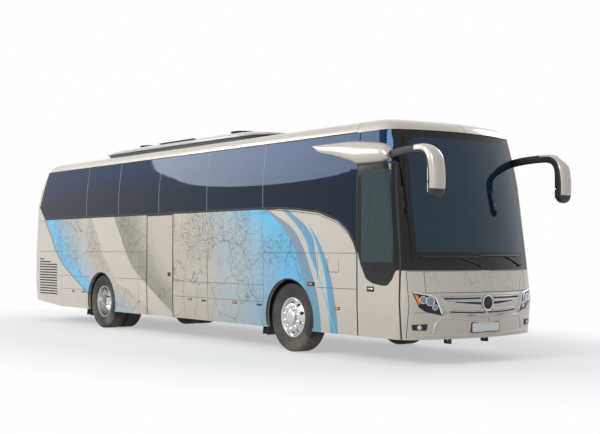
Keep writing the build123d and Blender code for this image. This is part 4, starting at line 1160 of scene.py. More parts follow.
class COACH_OT_seams(bpy.types.Operator):
    """Dark joint lines on fixed panels: thin flush strips along straight lines."""
    bl_idname = "coach.seams"
    bl_label = "Panel seams"

    def execute(self, context):
        strips = []
        width = size("seam")
        for side in (-1, 1):
            lines = [[(-8.99, 1.482), (-7.90, 1.482)],
                     [(-6.71, 1.482), (-5.47 if side > 0 else -4.31, 1.482)],
                     [(-0.61, 1.482), (1.56, 1.482)], [(0.70, 1.09), (0.70, 1.47)],
                     [(-8.72, 2.13), (-9.0, 2.13)], [(1.50, 3.17), (1.50, 3.3)],
                     [(0.70, 0.985), (1.56, 0.985)]]
            if side < 0:
                lines += [[(-8.02, 0.975), (-7.88, 0.975)], [(-6.72, 0.985), (-6.60, 0.985)],
                          [(-5.53, 0.985), (-4.30, 0.985)], [(-4.60, 0.36), (-4.60, 1.47)]]
            for a, b in lines:
                path = np.linspace(a, b, max(6, int(np.hypot(b[0] - a[0], b[1] - a[1]) / 0.06)))
                strips.append(side_strip(path, side, width, 0.0006, 0.002, 8))
        path = np.stack([np.zeros(14), np.linspace(3.17, 3.36, 14)], axis=1)
        strips.append(front_strip(path, width, 0.0008, True, 0.002, 8))
        make("panel_seams", strips, "coach", seam_shadow(), angle=50)
        flaps = {"luggage_flap_right_front": (-2.24, -0.64, -1), "luggage_flap_right_rear": (-3.34, -2.24,
                                                                                             -1),
                 "luggage_flap_left_front": (-2.24, -0.64, 1), "luggage_flap_left_middle": (-3.84, -2.24,
                                                                                            1),
                 "luggage_flap_left_rear": (-5.44, -3.84, 1), "equipment_flap_right": (-7.87, -6.74, -1),
                 "equipment_flap_left": (-7.87, -6.74, 1)}
        for name, (a, b, side) in flaps.items():
            strips = []
            for z in (0.985, 0.722):
                path = np.linspace((a + 0.012, z), (b - 0.012, z), 24)
                strips.append(side_strip(path, side, width * 0.8, 0.0006, 0.002, 8))
            make(name + "_creases", strips, name, seam_shadow(), angle=50)
            outline = plaque(b - 0.20, 0.66, b - 0.05, 0.69, 40, 0.01)
            handle = pad_over(outline, lambda flat, lift, s=side: on_side(flat, s, lift), 0.006, 0.003)
            make(name + "_handle", handle, name, dark_plastic())
        return {"FINISHED"}


class COACH_OT_side_fittings(bpy.types.Operator):
    """Side markers, repeaters and door handles as domed pads on the side."""
    bl_idname = "coach.side_fittings"
    bl_label = "Side fittings"

    def execute(self, context):
        amber = lens("marker_lens", linear(240, 122, 20), 0.35)
        bases = {"coach": [(-8.40, 0.60), (1.14, 0.698)], "equipment_flap": [(-7.32, 0.678)],
                 "rear": [(-2.81, 0.682)], "front": [(-1.45, 0.682)]}
        for side_name, side in SIDES:
            def place(flat, lift, s=side):
                return on_side(flat, s, lift)
            bodies = {"coach": "coach", "equipment_flap": "equipment_flap_" + side_name,
                      "rear": "luggage_flap_right_rear" if side < 0 else "luggage_flap_left_middle",
                      "front": "luggage_flap_%s_front" % side_name}
            for key, places in bases.items():
                body = bodies[key]
                base, glass = [], []
                for x, z in places:
                    ring = plaque(x - 0.062, z - 0.022, x + 0.062, z + 0.022, 48, 0.012)
                    base.append(pad_over(ring, place, 0.008))
                    ring = plaque(x - 0.048, z - 0.014, x + 0.048, z + 0.014, 48, 0.008)
                    glass.append(pad_over(ring, place, 0.014, -0.003))
                make("marker_base_%s_%s" % (key, side_name), base, body, dark_plastic())
                make("marker_lens_%s_%s" % (key, side_name), glass, body, amber)
            ring = plaque(0.46, 1.00, 0.64, 1.06, 48, 0.025)
            make("repeater_" + side_name, pad_over(ring, place, 0.016), "coach", dark_plastic())
            ring = plaque(0.50, 1.013, 0.60, 1.047, 48, 0.012)
            make("repeater_lens_" + side_name, pad_over(ring, place, 0.021, -0.008), "coach", amber)

        def right(flat, lift):
            return on_side(flat, -1, lift)

        ring = plaque(1.78, 0.96, 1.93, 1.035, 56, 0.015)
        make("front_door_handle_box", pad_over(ring, right, 0.007), "front_door", black_gloss())
        ring = plaque(1.80, 0.985, 1.91, 1.012, 48, 0.008)
        make("front_door_handle", pad_over(ring, right, 0.017, -0.004), "front_door", chrome())
        ring = plaque(-3.55, 1.06, -3.44, 1.13, 48, 0.012)
        make("middle_door_handle", pad_over(ring, right, 0.010), "middle_door", dark_plastic())
        # Dark strips sunk into the louvre slots: painted shade in the depths of the slots
        slot_shade = []
        for side in (-1, 1):
            for k in range(14):
                z = 0.593 + 0.056 * k
                front_end = -8.085 if z < 1.2 else -8.085 - (z - 1.2) * 6
                slot_shade.append(side_strip(np.linspace((-8.95, z), (front_end, z), 30), side, 0.024, -0.002,
                                        0.010, 8))
        make("louvre_slots", slot_shade, "coach", seam_shadow(), angle=50)
        guards = []
        for side in (-1, 1):
            for axle, radius in ((0.0, 0.583), (-WHEELBASE, 0.568)):
                a = np.linspace(math.radians(-15), math.radians(195), 80)
                path = np.stack([axle + radius * np.cos(a), 0.508 + radius * np.sin(a)], axis=1)
                path = path[path[:, 1] > 0.36]
                guards.append(side_strip(path, side, 0.020, 0.004))
        make("arch_edges", guards, "coach", rubber(), angle=50)
        flaps = []
        for side in (-1, 1):
            for x, y in ((-0.70, 1.07), (-6.80, 0.92)):
                wide = 0.30 if x > -1 else 0.56
                u, v = np.meshgrid(np.linspace(-0.5, 0.5, 9), np.linspace(0, 1, 9), indexing="ij")
                sheet = np.stack([AXLE_X + x - 0.03 * v ** 2, side * (y + u * wide * 0.98),
                                  0.56 - 0.34 * v], -1)
                flaps.append(slab(sheet, sheet - np.array([0.008, 0, 0])))
        make("mudflaps", flaps, "coach", rubber(), angle=40)
        return {"FINISHED"}


class COACH_OT_mirrors(bpy.types.Operator):
    """Mirrors: a bar of superellipse sections that grows from its arm into its head along a smooth path."""
    bl_idname = "coach.mirrors"
    bl_label = "Mirrors"

    def execute(self, context):
        shells, bases, faces = [], [], []
        for side in (-1, 1):
            path = smooth_path([(AXLE_X + x, side * y, z) for x, z, y in (
                (2.22, 2.812, 1.215), (2.45, 2.838, 1.235), (2.78, 2.846, 1.250), (2.95, 2.815, 1.255),
                (3.060, 2.720, 1.255), (3.100, 2.560, 1.255), (3.108, 2.400, 1.255), (3.098, 2.285, 1.255),
                (3.085, 2.200, 1.255))], 110)
            t = np.linspace(0, 1, 110)
            grow = ((t - 0.38) / 0.30).clip(0, 1)
            grow = grow * grow * (3 - 2 * grow)
            end = np.sqrt(np.clip(1 - ((t - 0.93) / 0.075).clip(0, 1) ** 2, 0.02, 1))
            rib = 1 + 0.04 * np.cos(2 * np.pi * t * 34) * (t < 0.16)
            wide, high = (0.034 + 0.074 * grow) * end * rib, (0.056 + 0.030 * grow) * end * rib
            bases.append(swept(path, wide, high, (0, 1, 0), 3.0, 40))
            run = slice(38, 101)
            tangent = np.gradient(path, axis=0)[run]
            tangent /= np.linalg.norm(tangent, axis=1)[:, None]
            across = np.array([0.0, 1.0, 0.0]) - tangent * tangent[:, 1:2]
            across /= np.linalg.norm(across, axis=1)[:, None]
            outward = np.cross(across, tangent)
            outward *= np.sign((outward * (1, 0, 0.6)).sum(axis=1))[:, None]
            a = np.linspace(-0.10, math.pi - 0.35, 33) if side > 0 else np.linspace(0.35, math.pi + 0.10,
                                                                                    33)
            c = np.sign(np.cos(a)) * np.abs(np.cos(a)) ** (2 / 3)
            q = np.sign(np.sin(a)) * np.abs(np.sin(a)) ** (2 / 3)
            edge = (np.sin(np.linspace(0, np.pi, 63)) ** 0.25)[:, None, None]
            over = 0.0035 * edge
            flat = ((wide[run, None] * c)[..., None] * across[:, None] + (high[run, None] * q)[..., None]
                    * outward[:, None])
            unit = flat / np.linalg.norm(flat, axis=2)[..., None]
            outer = path[run][:, None] + flat + unit * over
            shells.append(slab(outer, path[run][:, None] + flat - unit * 0.003))
            u, v = np.meshgrid(np.linspace(-1, 1, 13), np.linspace(-1, 1, 25), indexing="ij")
            for z0, z1, bulge in ((2.41, 2.62, 0.004), (2.27, 2.39, 0.008)):
                face = np.stack([AXLE_X + 3.014 - bulge * (1 - u ** 2) * (1 - v ** 2),
                                 side * (1.255 + 0.078 * u), (z0 + z1) / 2 + (z1 - z0) / 2 * v], axis=-1)
                faces.append(slab(face, face + np.array([0.012, 0, 0])))
        make("mirror_arms", bases, "coach", dark_plastic(), replaces=("mirrors",), angle=45)
        make("mirror_shells", shells, "coach", body_paint(), replaces=("mirrors",),
             angle=50)
        make("mirror_faces", faces, "coach", metal("mirror_face", linear(225, 228, 230), 0.02, 10.0, 0.05,
                                                   0.01))
        return {"FINISHED"}


class COACH_OT_fairings(bpy.types.Operator):
    """Mirror fairings: blades on the roof edge, crowned by a power of the distance from their middle line."""
    bl_idname = "coach.fairings"
    bl_label = "Mirror fairings"

    def execute(self, context):
        upper = [(0.505, 3.052), (1.240, 3.058), (1.780, 3.016), (2.148, 2.948), (2.221, 2.850)]
        lower = [(0.505, 3.046), (0.640, 2.962), (1.050, 2.862), (1.400, 2.772), (1.560, 2.724),
                 (1.900, 2.718),
                 (2.206, 2.744), (2.221, 2.846)]
        pieces = []
        x = np.linspace(0.505, 2.221, 90)
        top = bent(x, *np.array(upper).T)
        bottom = bent(x, *np.array(lower).T)
        u = np.linspace(0, 1, 17)
        z = bottom[:, None] + (top - bottom)[:, None] * u
        swell = np.minimum(1, np.minimum((x - 0.505) / 0.9, 1.0)) ** 0.7
        crown = (1 - np.abs(2 * u - 1) ** 2.6)
        rise = 0.062 * swell[:, None] * crown[None, :] + 0.003
        for side in (-1, 1):
            base = side_y(AXLE_X + x[:, None] + 0 * z, z)
            out = np.minimum(base + rise + 0.02 * ((x[:, None] - 0.5) / 1.7).clip(0, 1) ** 2 * crown, 1.327)
            outer = np.stack([AXLE_X + x[:, None] + 0 * z, side * out, z], axis=-1)
            inner = np.stack([AXLE_X + x[:, None] + 0 * z, side * (base - 0.004), z], axis=-1)
            pieces.append(slab(outer, inner))
        make("mirror_fairing_blades", pieces, "coach", body_paint(),
             replaces=("mirror_fairings",),
             angle=50)
        return {"FINISHED"}


class COACH_OT_front_end(bpy.types.Operator):
    """Front trim: bars, lips and mouldings swept along Y and Z lines over the bowed front."""
    bl_idname = "coach.front_end"
    bl_label = "Front end"

    def execute(self, context):
        bars = []
        satin = metal("satin_silver", linear(176, 178, 180), 0.3, 120.0, 0.15, 0.1)
        ends = ((0.775, 0.905, 0.115, 0.900, 0.020), (0.705, 0.858, 0.118, 0.846, 0.030),
                (0.600, 0.742, 0.100, 0.728, 0.034), (0.330, 0.668, 0.060, 0.664, 0.022))
        for y_out, z_out, y_in, z_in, wide in ends:
            for s in (-1, 1):
                path = smooth_path([(s * y_out, z_out),
                                    (s * (y_out + y_in) / 2, (z_out + z_in) / 2 - 0.006),
                                    (s * y_in, z_in)], 24)
                t = np.linspace(0, 1, 24)
                width = wide * (0.5 + 0.5 * np.minimum(1, t * 3))
                bars.append(front_strip(path, width, 0.014, True, -0.002, 3, True))
        make("grille_bars", bars, "coach", satin)
        # Dark strips over the grille slots: painted shade in the slot openings
        slot = []
        shadows = (((0.560, 0.842), (0.34, 0.822), (0.120, 0.806), 0.026),
                   ((0.735, 0.882), (0.43, 0.880), (0.130, 0.880), 0.020),
                   ((0.640, 0.705), (0.34, 0.690), (0.02, 0.688), 0.018))
        for s in (-1, 1):
            for *line, width in shadows:
                path = smooth_path([(s * y, z) for y, z in line], 20)
                slot.append(front_strip(path, width, 0.0025, True, 0.003, 8, True))
        make("grille_slots", slot, "coach", seam_shadow())
        nose_x = float(end_x(0.0, 0.816))
        rim = [(0.098, 0.004), (0.104, 0.010), (0.104, 0.016), (0.097, 0.020), (0.090, 0.016),
               (0.088, 0.010)]
        dome = [(0.0, 0.0165), (0.03, 0.0163), (0.06, 0.0150), (0.080, 0.0125), (0.089, 0.010),
                (0.089, 0.004)]
        ring = turned(rim, (nose_x, 0, 0.816), (1, 0, 0), 72)
        disc = turned(dome, (nose_x, 0, 0.816), (1, 0, 0), 72)
        make("boss_ring", grid(ring, (True, True)), "coach", chrome())
        make("boss_disc", grid(disc, (True, False)), "coach", black_gloss())
        outline = rounded([(-0.822, 0.926), (0.822, 0.926), (0.702, 0.688), (0.30, 0.638), (0, 0.620),
                           (-0.30, 0.638),
                           (-0.702, 0.688)], 180, 0.04)
        edge = np.vstack([outline, outline[:1]])
        make("grille_surround", front_strip(edge, 0.016, 0.008, True, 0.004, 3), "coach", satin)
        lips = []
        for s in (-1, 1):
            path = smooth_path([(s * 0.05, 0.590), (s * 0.36, 0.600), (s * 0.66, 0.628), (s * 0.78, 0.600),
                                (s * 0.84, 0.520), (s * 0.86, 0.430)], 40)
            lips.append(front_strip(path, 0.036, 0.010, True, 0.004, 2.2))
        path = smooth_path([(-1.10, 0.395), (-0.6, 0.385), (0, 0.382), (0.6, 0.385), (1.10, 0.395)], 60)
        lips.append(front_strip(path, 0.030, 0.007, True, 0.004, 2.4))
        for s in (-1, 1):
            path = smooth_path([(s * 0.96, 1.245), (s * 0.86, 1.12), (s * 0.80, 0.95)], 24)
            lips.append(front_strip(path, 0.010, 0.004, True, 0.003, 2.0))
        make("bumper_lips", lips, "coach", body_paint())
        y = np.linspace(-1.18, 1.18, 50)
        path = np.stack([y, 0.70 - 0.08 * np.clip(1 - np.abs(y) / 0.85, 0, 1)], axis=1)
        seams = [front_strip(path, 0.006, 0.0008, True, 0.002, 8)]
        for s in (-1, 1):
            for start, end, count in (((s * 1.205, 0.36), (s * 1.205, 1.24), 30),
                                      ((s * 1.20, 1.247), (s * 0.99, 1.247), 12)):
                seams.append(front_strip(np.linspace(start, end, count), 0.006, 0.0008, True, 0.002, 8))
        make("front_seams", seams, "coach", seam_shadow())
        plate = plaque(-0.262, 0.425, 0.262, 0.545, 80, 0.012)
        holder = plaque(-0.275, 0.414, 0.275, 0.556, 80, 0.012)

        def flat_place(yz, lift):
            x = float(end_x(0.0, 0.48)) + lift
            return np.stack([x + 0 * yz[..., 0], yz[..., 0], yz[..., 1]], axis=-1)

        make("plate_holder", pad_over(holder, flat_place, 0.008, 0.02), "coach", dark_plastic())
        white = moulded("plate_white", linear(228, 230, 226), 0.3, 200.0, 0.08, 0.1)
        make("front_plate", pad_over(plate, flat_place, 0.0105, -0.004, arc=30), "coach", white)
        fog = []
        wells = []
        for s in (-1, 1):
            well = [(s * 0.960, 0.462), (s * 1.150, 0.470), (s * 1.165, 0.545), (s * 0.950, 0.552)]
            wells.append(pad_over(rounded(well, 80, 0.015), on_front, 0.003, 0.003, arc=40))
            centre = on_front(np.array([s * 1.060, 0.506]), 0.002)
            bowl = [(0.0, 0.012), (0.018, 0.011), (0.030, 0.006), (0.034, 0.0), (0.034, -0.006)]
            fog.append(grid(turned(bowl, centre, (0.90, s * 0.42, 0), 40), (True, False)))
        make("fog_wells", wells, "coach", seam_shadow())
        make("fog_lamps", fog, "coach", lens("clear_lens", linear(205, 212, 220)))
        return {"FINISHED"}


class COACH_OT_headlamps(bpy.types.Operator):
    """Headlamps: a dark dome over the lamp outline, two round projectors with rings, and a bright edge."""
    bl_idname = "coach.headlamps"
    bl_label = "Headlamps"

    def execute(self, context):
        shell, rings, bulbs, edges, ambers = [], [], [], [], []
        for s in (-1, 1):
            ring = rounded([(s * 1.164, 0.982), (s * 1.030, 0.958), (s * 0.866, 0.923), (s * 0.745, 0.660),
                            (s * 0.900, 0.693), (s * 1.002, 0.719), (s * 1.086, 0.777)], 120, 0.02)
            shell.append(pad_over(ring, on_front, 0.006, 0.006, arc=3))
            for y, z, r in ((0.935, 0.852, 0.062), (1.030, 0.870, 0.050), (0.868, 0.770, 0.038)):
                centre = on_front(np.array([s * y, z]), 0.003)
                beside = on_front(np.array([s * (y + 0.01), z]), 0.003) - centre
                above = on_front(np.array([s * y, z + 0.01]), 0.003) - centre
                axis = np.cross(beside, above) * s
                profile = [(r, 0.0), (r + 0.003, 0.006), (r, 0.011), (r - 0.006, 0.012), (r - 0.010, 0.006)]
                rings.append(grid(turned(profile, centre, axis, 48), (True, True)))
                dome = [(0.0, 0.014), (r * 0.4, 0.013), (r * 0.7, 0.009), (r - 0.008, 0.004)]
                bulbs.append(grid(turned(dome, centre, axis, 40), (True, False)))
            line = smooth_path([(s * 1.155, 0.972), (s * 1.030, 0.946), (s * 0.875, 0.912),
                                (s * 0.815, 0.800),
                                (s * 0.760, 0.680)], 50)
            edges.append(front_strip(line, 0.016, 0.010, True, -0.001, 2.4))
            ring = rounded([(s * 1.140, 0.950), (s * 1.085, 0.938), (s * 1.070, 0.830),
                            (s * 1.085, 0.800)], 48, 0.01)
            ambers.append(pad_over(ring, on_front, 0.011, -0.003))
        make("headlamp_covers", shell, "coach", black_gloss(), replaces=("headlamps",))
        make("headlamp_rings", rings, "coach", chrome())
        make("headlamp_domes", bulbs, "coach", lens("lamp_crystal", linear(120, 130, 150)))
        make("headlamp_edges", edges, "coach", lens("running_light", linear(235, 238, 240), 0.3))
        make("headlamp_turn_lenses", ambers, "coach", lens("amber_lens", linear(236, 128, 22), 0.15))
        return {"FINISHED"}


class COACH_OT_rear_end(bpy.types.Operator):
    """Rear trim: lamp domes, engine lid slats, plate, bumper lip and reflectors over the bowed rear."""
    bl_idname = "coach.rear_end"
    bl_label = "Rear end"

    def execute(self, context):
        def place(flat, lift):
            return on_front(flat, lift, False)

        reds, ambers, whites, frames = [], [], [], []
        chambers = ((1.66, 1.86, reds), (1.46, 1.63, ambers), (1.24, 1.43, reds), (1.05, 1.21, whites))
        for s in (-1, 1):
            for z0, z1, target in chambers:
                ring = plaque(s * 1.035, z0, s * 1.145, z1, 64, 0.02)
                target.append(pad_over(ring, place, 0.010, -0.001))
            ring = plaque(s * 1.012, 1.002, s * 1.168, 1.898, 100, 0.02)
            frames.append(front_strip(np.vstack([ring, ring[:1]]), 0.016, 0.006, False))
        make("rear_red_lenses", reds, "coach", lens("red_lens", linear(150, 14, 12)))
        make("rear_amber_lenses", ambers, "coach", lens("amber_lens", linear(236, 128, 22), 0.15))
        make("rear_white_lenses", whites, "coach", lens("clear_lens", linear(205, 212, 220)))
        make("rear_lamp_frames", frames, "coach", dark_plastic())
        slats = []
        for k in range(9):
            z = 1.02 + 0.055 * k
            slats.append(front_strip(np.linspace((-0.72, z), (0.72, z), 40), 0.030, 0.002, False, -0.0003,
                                     2.5))
        make("engine_lid_slats", slats, "engine_lid", dark_plastic())
        panel = plaque(-0.30, 1.62, 0.30, 1.80, 90, 0.02)
        make("rear_plate_bed", pad_over(panel, place, 0.004, 0.002, arc=30), "engine_lid", dark_plastic())
        plate = plaque(-0.255, 1.652, 0.255, 1.762, 80, 0.012)
        white = moulded("plate_white", linear(228, 230, 226), 0.3, 200.0, 0.08, 0.1)
        make("rear_plate", pad_over(plate, place, 0.006, -0.003, arc=30), "engine_lid", white)
        handle = plaque(-0.11, 1.545, 0.11, 1.58, 60, 0.014)
        make("engine_lid_handle", pad_over(handle, place, 0.009, -0.001), "engine_lid", dark_plastic())
        path = smooth_path([(-1.16, 0.62), (-0.6, 0.612), (0, 0.610), (0.6, 0.612), (1.16, 0.62)], 60)
        make("rear_bumper_lip", front_strip(path, 0.05, 0.004, False, 0.004, 3), "coach", body_paint())
        reflectors = []
        for s in (-1, 1):
            ring = plaque(s * 0.98, 0.665, s * 1.13, 0.70, 56, 0.01)
            reflectors.append(pad_over(ring, place, 0.004, -0.001))
        make("rear_reflectors", reflectors, "coach", lens("red_lens", linear(150, 14, 12)))
        seam = front_strip(np.linspace((-1.20, 2.10), (1.20, 2.10), 50), 0.006, 0.0006, False, 0.002, 8)
        make("rear_seams", seam, "coach", seam_shadow())
        top = plaque(-0.14, 3.045, 0.14, 3.075, 50, 0.01)
        make("high_brake_lamp", pad_over(top, place, 0.006, -0.001), "coach",
             lens("red_lens", linear(150, 14, 12)))
        return {"FINISHED"}


class COACH_OT_tyres(bpy.types.Operator):
    """Tyres: the wall profile turned about the axle; waved grooves and slits lower its radius."""
    bl_idname = "coach.tyres"
    bl_label = "Tyres"

    def execute(self, context):
        def blocks(a, r, along):
            wave = along + 0.010 * np.sin(a * 72)
            rib = sum(np.exp(-((np.abs(wave) - middle) / 0.0045) ** 4) for middle in (0.030, 0.082))
            sipe = 0.45 * (np.abs(along) > 0.088) * (np.cos(a * 72) > 0.55)
            return -size("tread") * np.clip(rib + sipe, 0, 1) * np.clip((r - 0.500) / 0.008, 0, 1)

        half = 0.1472
        wall = [(0.2895, 0.099), (0.300, 0.1045), (0.303, 0.112), (0.300, 0.118), (0.312, 0.124),
                (0.330, 0.127),
                (0.345, 0.1325), (0.352, 0.1335), (0.359, 0.1365), (0.400, 0.144), (0.430, half),
                (0.455, 0.1462),
                (0.4575, 0.1440), (0.460, 0.1452), (0.481, 0.1392), (0.495, 0.1352), (0.506, 0.1300),
                (0.5115, 0.1235),
                (0.5145, 0.116)]
        crown = [(0.5155, y) for y in np.linspace(0.110, -0.110, 45)]
        profile = wall + crown + [(r, -y) for r, y in wall[::-1]]
        groups = {"front_wheel": (0.0, (1.072,), "front_tyre_%s"),
                  "rear_wheels": (-WHEELBASE, (1.080, 0.746), "rear_tyres_%s")}
        for key, (axle, places, node) in groups.items():
            for name, side in SIDES:
                patches = []
                for y in places:
                    centre = (AXLE_X + axle, side * y, AXLE_HEIGHT)
                    outer = turned(profile, centre, (0, side, 0), 288, blocks)
                    inner = turned([(0.2890, -0.099), (0.2890, 0.099)], centre, (0, side, 0), 288)
                    patches += [grid(outer, (True, False)), grid(inner, (True, False)),
                                grid(np.stack([outer[:, 0], inner[:, 1]], axis=1), (True, False)),
                                grid(np.stack([outer[:, -1], inner[:, 0]], axis=1), (True, False))]
                make("%s_rubber_%s" % (key, name), patches, "%s_%s" % (key, name),
                     moulded("tyre_rubber", linear(33, 33, 34), 0.72, 260.0, 0.25, 0.5),
                     replaces=(node % name,), angle=38)
        return {"FINISHED"}


class COACH_OT_wheel_fittings(bpy.types.Operator):
    """Wheel fittings: hexagonal nuts on their circle and hub caps turned about the axle."""
    bl_idname = "coach.wheel_fittings"
    bl_label = "Wheel fittings"

    def execute(self, context):
        count = size("nuts")
        circle = 0.1675
        for key, axle, face in (("front_wheel", 0.0, 1.072 + 0.150),
                                ("rear_wheels", -WHEELBASE, 1.080 - 0.166)):
            for name, side in SIDES:
                nuts, caps = [], []
                for k in range(count):
                    a = 2 * math.pi * (k + 0.5) / count
                    centre = (AXLE_X + axle + circle * math.cos(a), side * face,
                              AXLE_HEIGHT + circle * math.sin(a))
                    profile = [(0.0, 0.0), (0.022, 0.0), (0.022, 0.004), (0.0185, 0.006), (0.0175, 0.024),
                               (0.013, 0.028), (0.0095, 0.029), (0.0095, 0.036), (0.0, 0.037)]
                    nuts.append(grid(turned(profile, centre, (0, side, 0), 6), (True, False)))
                body = "%s_%s" % (key, name)
                hub = (AXLE_X + axle, side * face, AXLE_HEIGHT)
                if key == "front_wheel":
                    profile = [(0.0, 0.0365), (0.045, 0.0365), (0.058, 0.0345), (0.062, 0.030),
                               (0.088, 0.026),
                               (0.096, 0.018), (0.112, 0.014), (0.119, 0.004), (0.119, 0.0)]
                else:
                    profile = [(0.0, 0.118), (0.050, 0.118), (0.082, 0.112), (0.092, 0.100), (0.098, 0.040),
                               (0.118, 0.034), (0.126, 0.022), (0.126, 0.0)]
                caps.append(grid(turned(profile, hub, (0, side, 0), 60), (True, False)))
                make(body + "_nuts", nuts, body, chrome(), angle=25)
                make(body + "_hub_cap", caps, body, metal("hub_grey", linear(120, 122, 124), 0.35, 90.0,
                                                          0.3, 0.15),
                     angle=35)
        return {"FINISHED"}


def cushion(low, high, crown, upright=False, channels=True):
    """A crowned closed form: a rounded box whose sides pull in between its corners, with two sewn channels."""
    low, high = np.asarray(low, float), np.asarray(high, float)
    points, quads = block((0, 0, 0), (2, 2, 2), 5.0, (20, 11))
    x, y, z = points.T
    thick, along = (x, z) if upright else (z, x)
    y = y * (1 - crown * (1 - along ** 2).clip(0, 1))
    thick = thick * (0.80 + 0.20 * (1 - (y / 1.05) ** 2).clip(0, 1) ** 0.5)
    if channels:
        thick = thick - 0.06 * np.sign(thick) * np.exp(-((np.abs(y) - 0.55) / 0.08) ** 2)
    shape = np.stack([thick, y, along] if upright else [along, y, thick], axis=1)
    return shape * (high - low) / 2 + (high + low) / 2, quads


def swollen(patches, cap):
    """Padding: closed forms filled by cloth pressure for 20 frames, each point moved by no more than cap."""
    points, quads = joined(patches)
    mesh = bpy.data.meshes.new("padding")
    mesh.from_pydata(points.tolist(), [], quads.tolist())
    form = bpy.data.objects.new("padding", mesh)
    scene = bpy.context.scene
    scene.collection.objects.link(form)
    pad = form.modifiers.new("padding", "CLOTH")
    pad.settings.use_pressure, pad.settings.uniform_pressure_force = True, 4.0
    pad.settings.quality = 5
    pad.settings.effector_weights.gravity = 0.0
    pad.collision_settings.use_collision = False
    pad.point_cache.frame_start, pad.point_cache.frame_end = 1, 20
    for step in range(1, 21):
        scene.frame_set(step)
    moved = np.empty(points.size, np.float32)
    form.evaluated_get(bpy.context.evaluated_depsgraph_get()).data.vertices.foreach_get("co", moved)
    scene.frame_set(1)
    bpy.data.objects.remove(form)
    bpy.data.meshes.remove(mesh)
    shift = moved.reshape(-1, 3) - points
    far = np.linalg.norm(shift, axis=1)[:, None]
    return points + shift * np.minimum(1, cap / np.maximum(far, 1e-9)), quads


class COACH_OT_seats(bpy.types.Operator):
    """Seats: one padded pair of cushions is filled once and carried to every place as whole arrays."""
    bl_idname = "coach.seats"
    bl_label = "Seats"

    def execute(self, context):
        fabric = cloth("seat_fabric", colour("seat"), linear(150, 170, 196))
        head_cloth = cloth("head_fabric", linear(196, 198, 200), linear(225, 226, 228))
        rigid = moulded("seat_shell", linear(66, 68, 72), 0.5, 260.0)

        def leaning(part):
            p, q = part
            back = 0.147 * (p[:, 2] - 0.45).clip(0, 1)
            return np.stack([p[:, 0] - back, p[:, 1], p[:, 2]], axis=1), q

        soft = [cushion((0.06, -0.21, 0.365), (0.425, 0.21, 0.455), 0.05),
                leaning(cushion((-0.035, -0.21, 0.455), (0.07, 0.21, 1.115), 0.05, True))]
        pads = swollen(soft, size("pile"))
        head = leaning(cushion((0.045, -0.15, 0.90), (0.078, 0.15, 1.09), 0.06, True, False))
        hard = joined([box((0.02, -0.215, 0.335), (0.43, 0.215, 0.372), 0.012),
                       leaning(box((-0.060, -0.215, 0.40), (-0.030, 0.215, 1.10), 0.012)),
                       box((0.10, -0.028, 0.001), (0.34, 0.028, 0.345), 0.006)]
                      + [box((-0.02, y - 0.018, 0.60), (0.30, y + 0.018, 0.635), 0.012) for y in (-0.205,
                                                                                                  0.205)])
        places = {"passenger_seats_right": [], "passenger_seats_left": [],
                  "driver_seat": [(1.500, 0.620, 0.900)]}
        for name, side in SIDES:
            for row in range(12):
                x = 0.350 - row * 0.780
                if side > 0 or not -4.800 < x < -3.130:
                    places["passenger_seats_" + name] += [(x, side * 0.500, 1.360),
                                                          (x, side * 0.960, 1.360)]
        for node, spots in places.items():
            moves = [np.array([AXLE_X + x, y, z]) for x, y, z in spots]
            piece = make(node + "_cushions", [(pads[0] + m, pads[1]) for m in moves], "coach", fabric,
                         replaces=(node,), angle=80)
            piece.modifiers.new("soft", "SUBSURF").levels = 1
            cover = make(node + "_head_covers", [(head[0] + m, head[1]) for m in moves], "coach",
                         head_cloth,
                         angle=80)
            make(node + "_frames", [(hard[0] + m, hard[1]) for m in moves], "coach", rigid,
                 replaces=(node,))
        return {"FINISHED"}


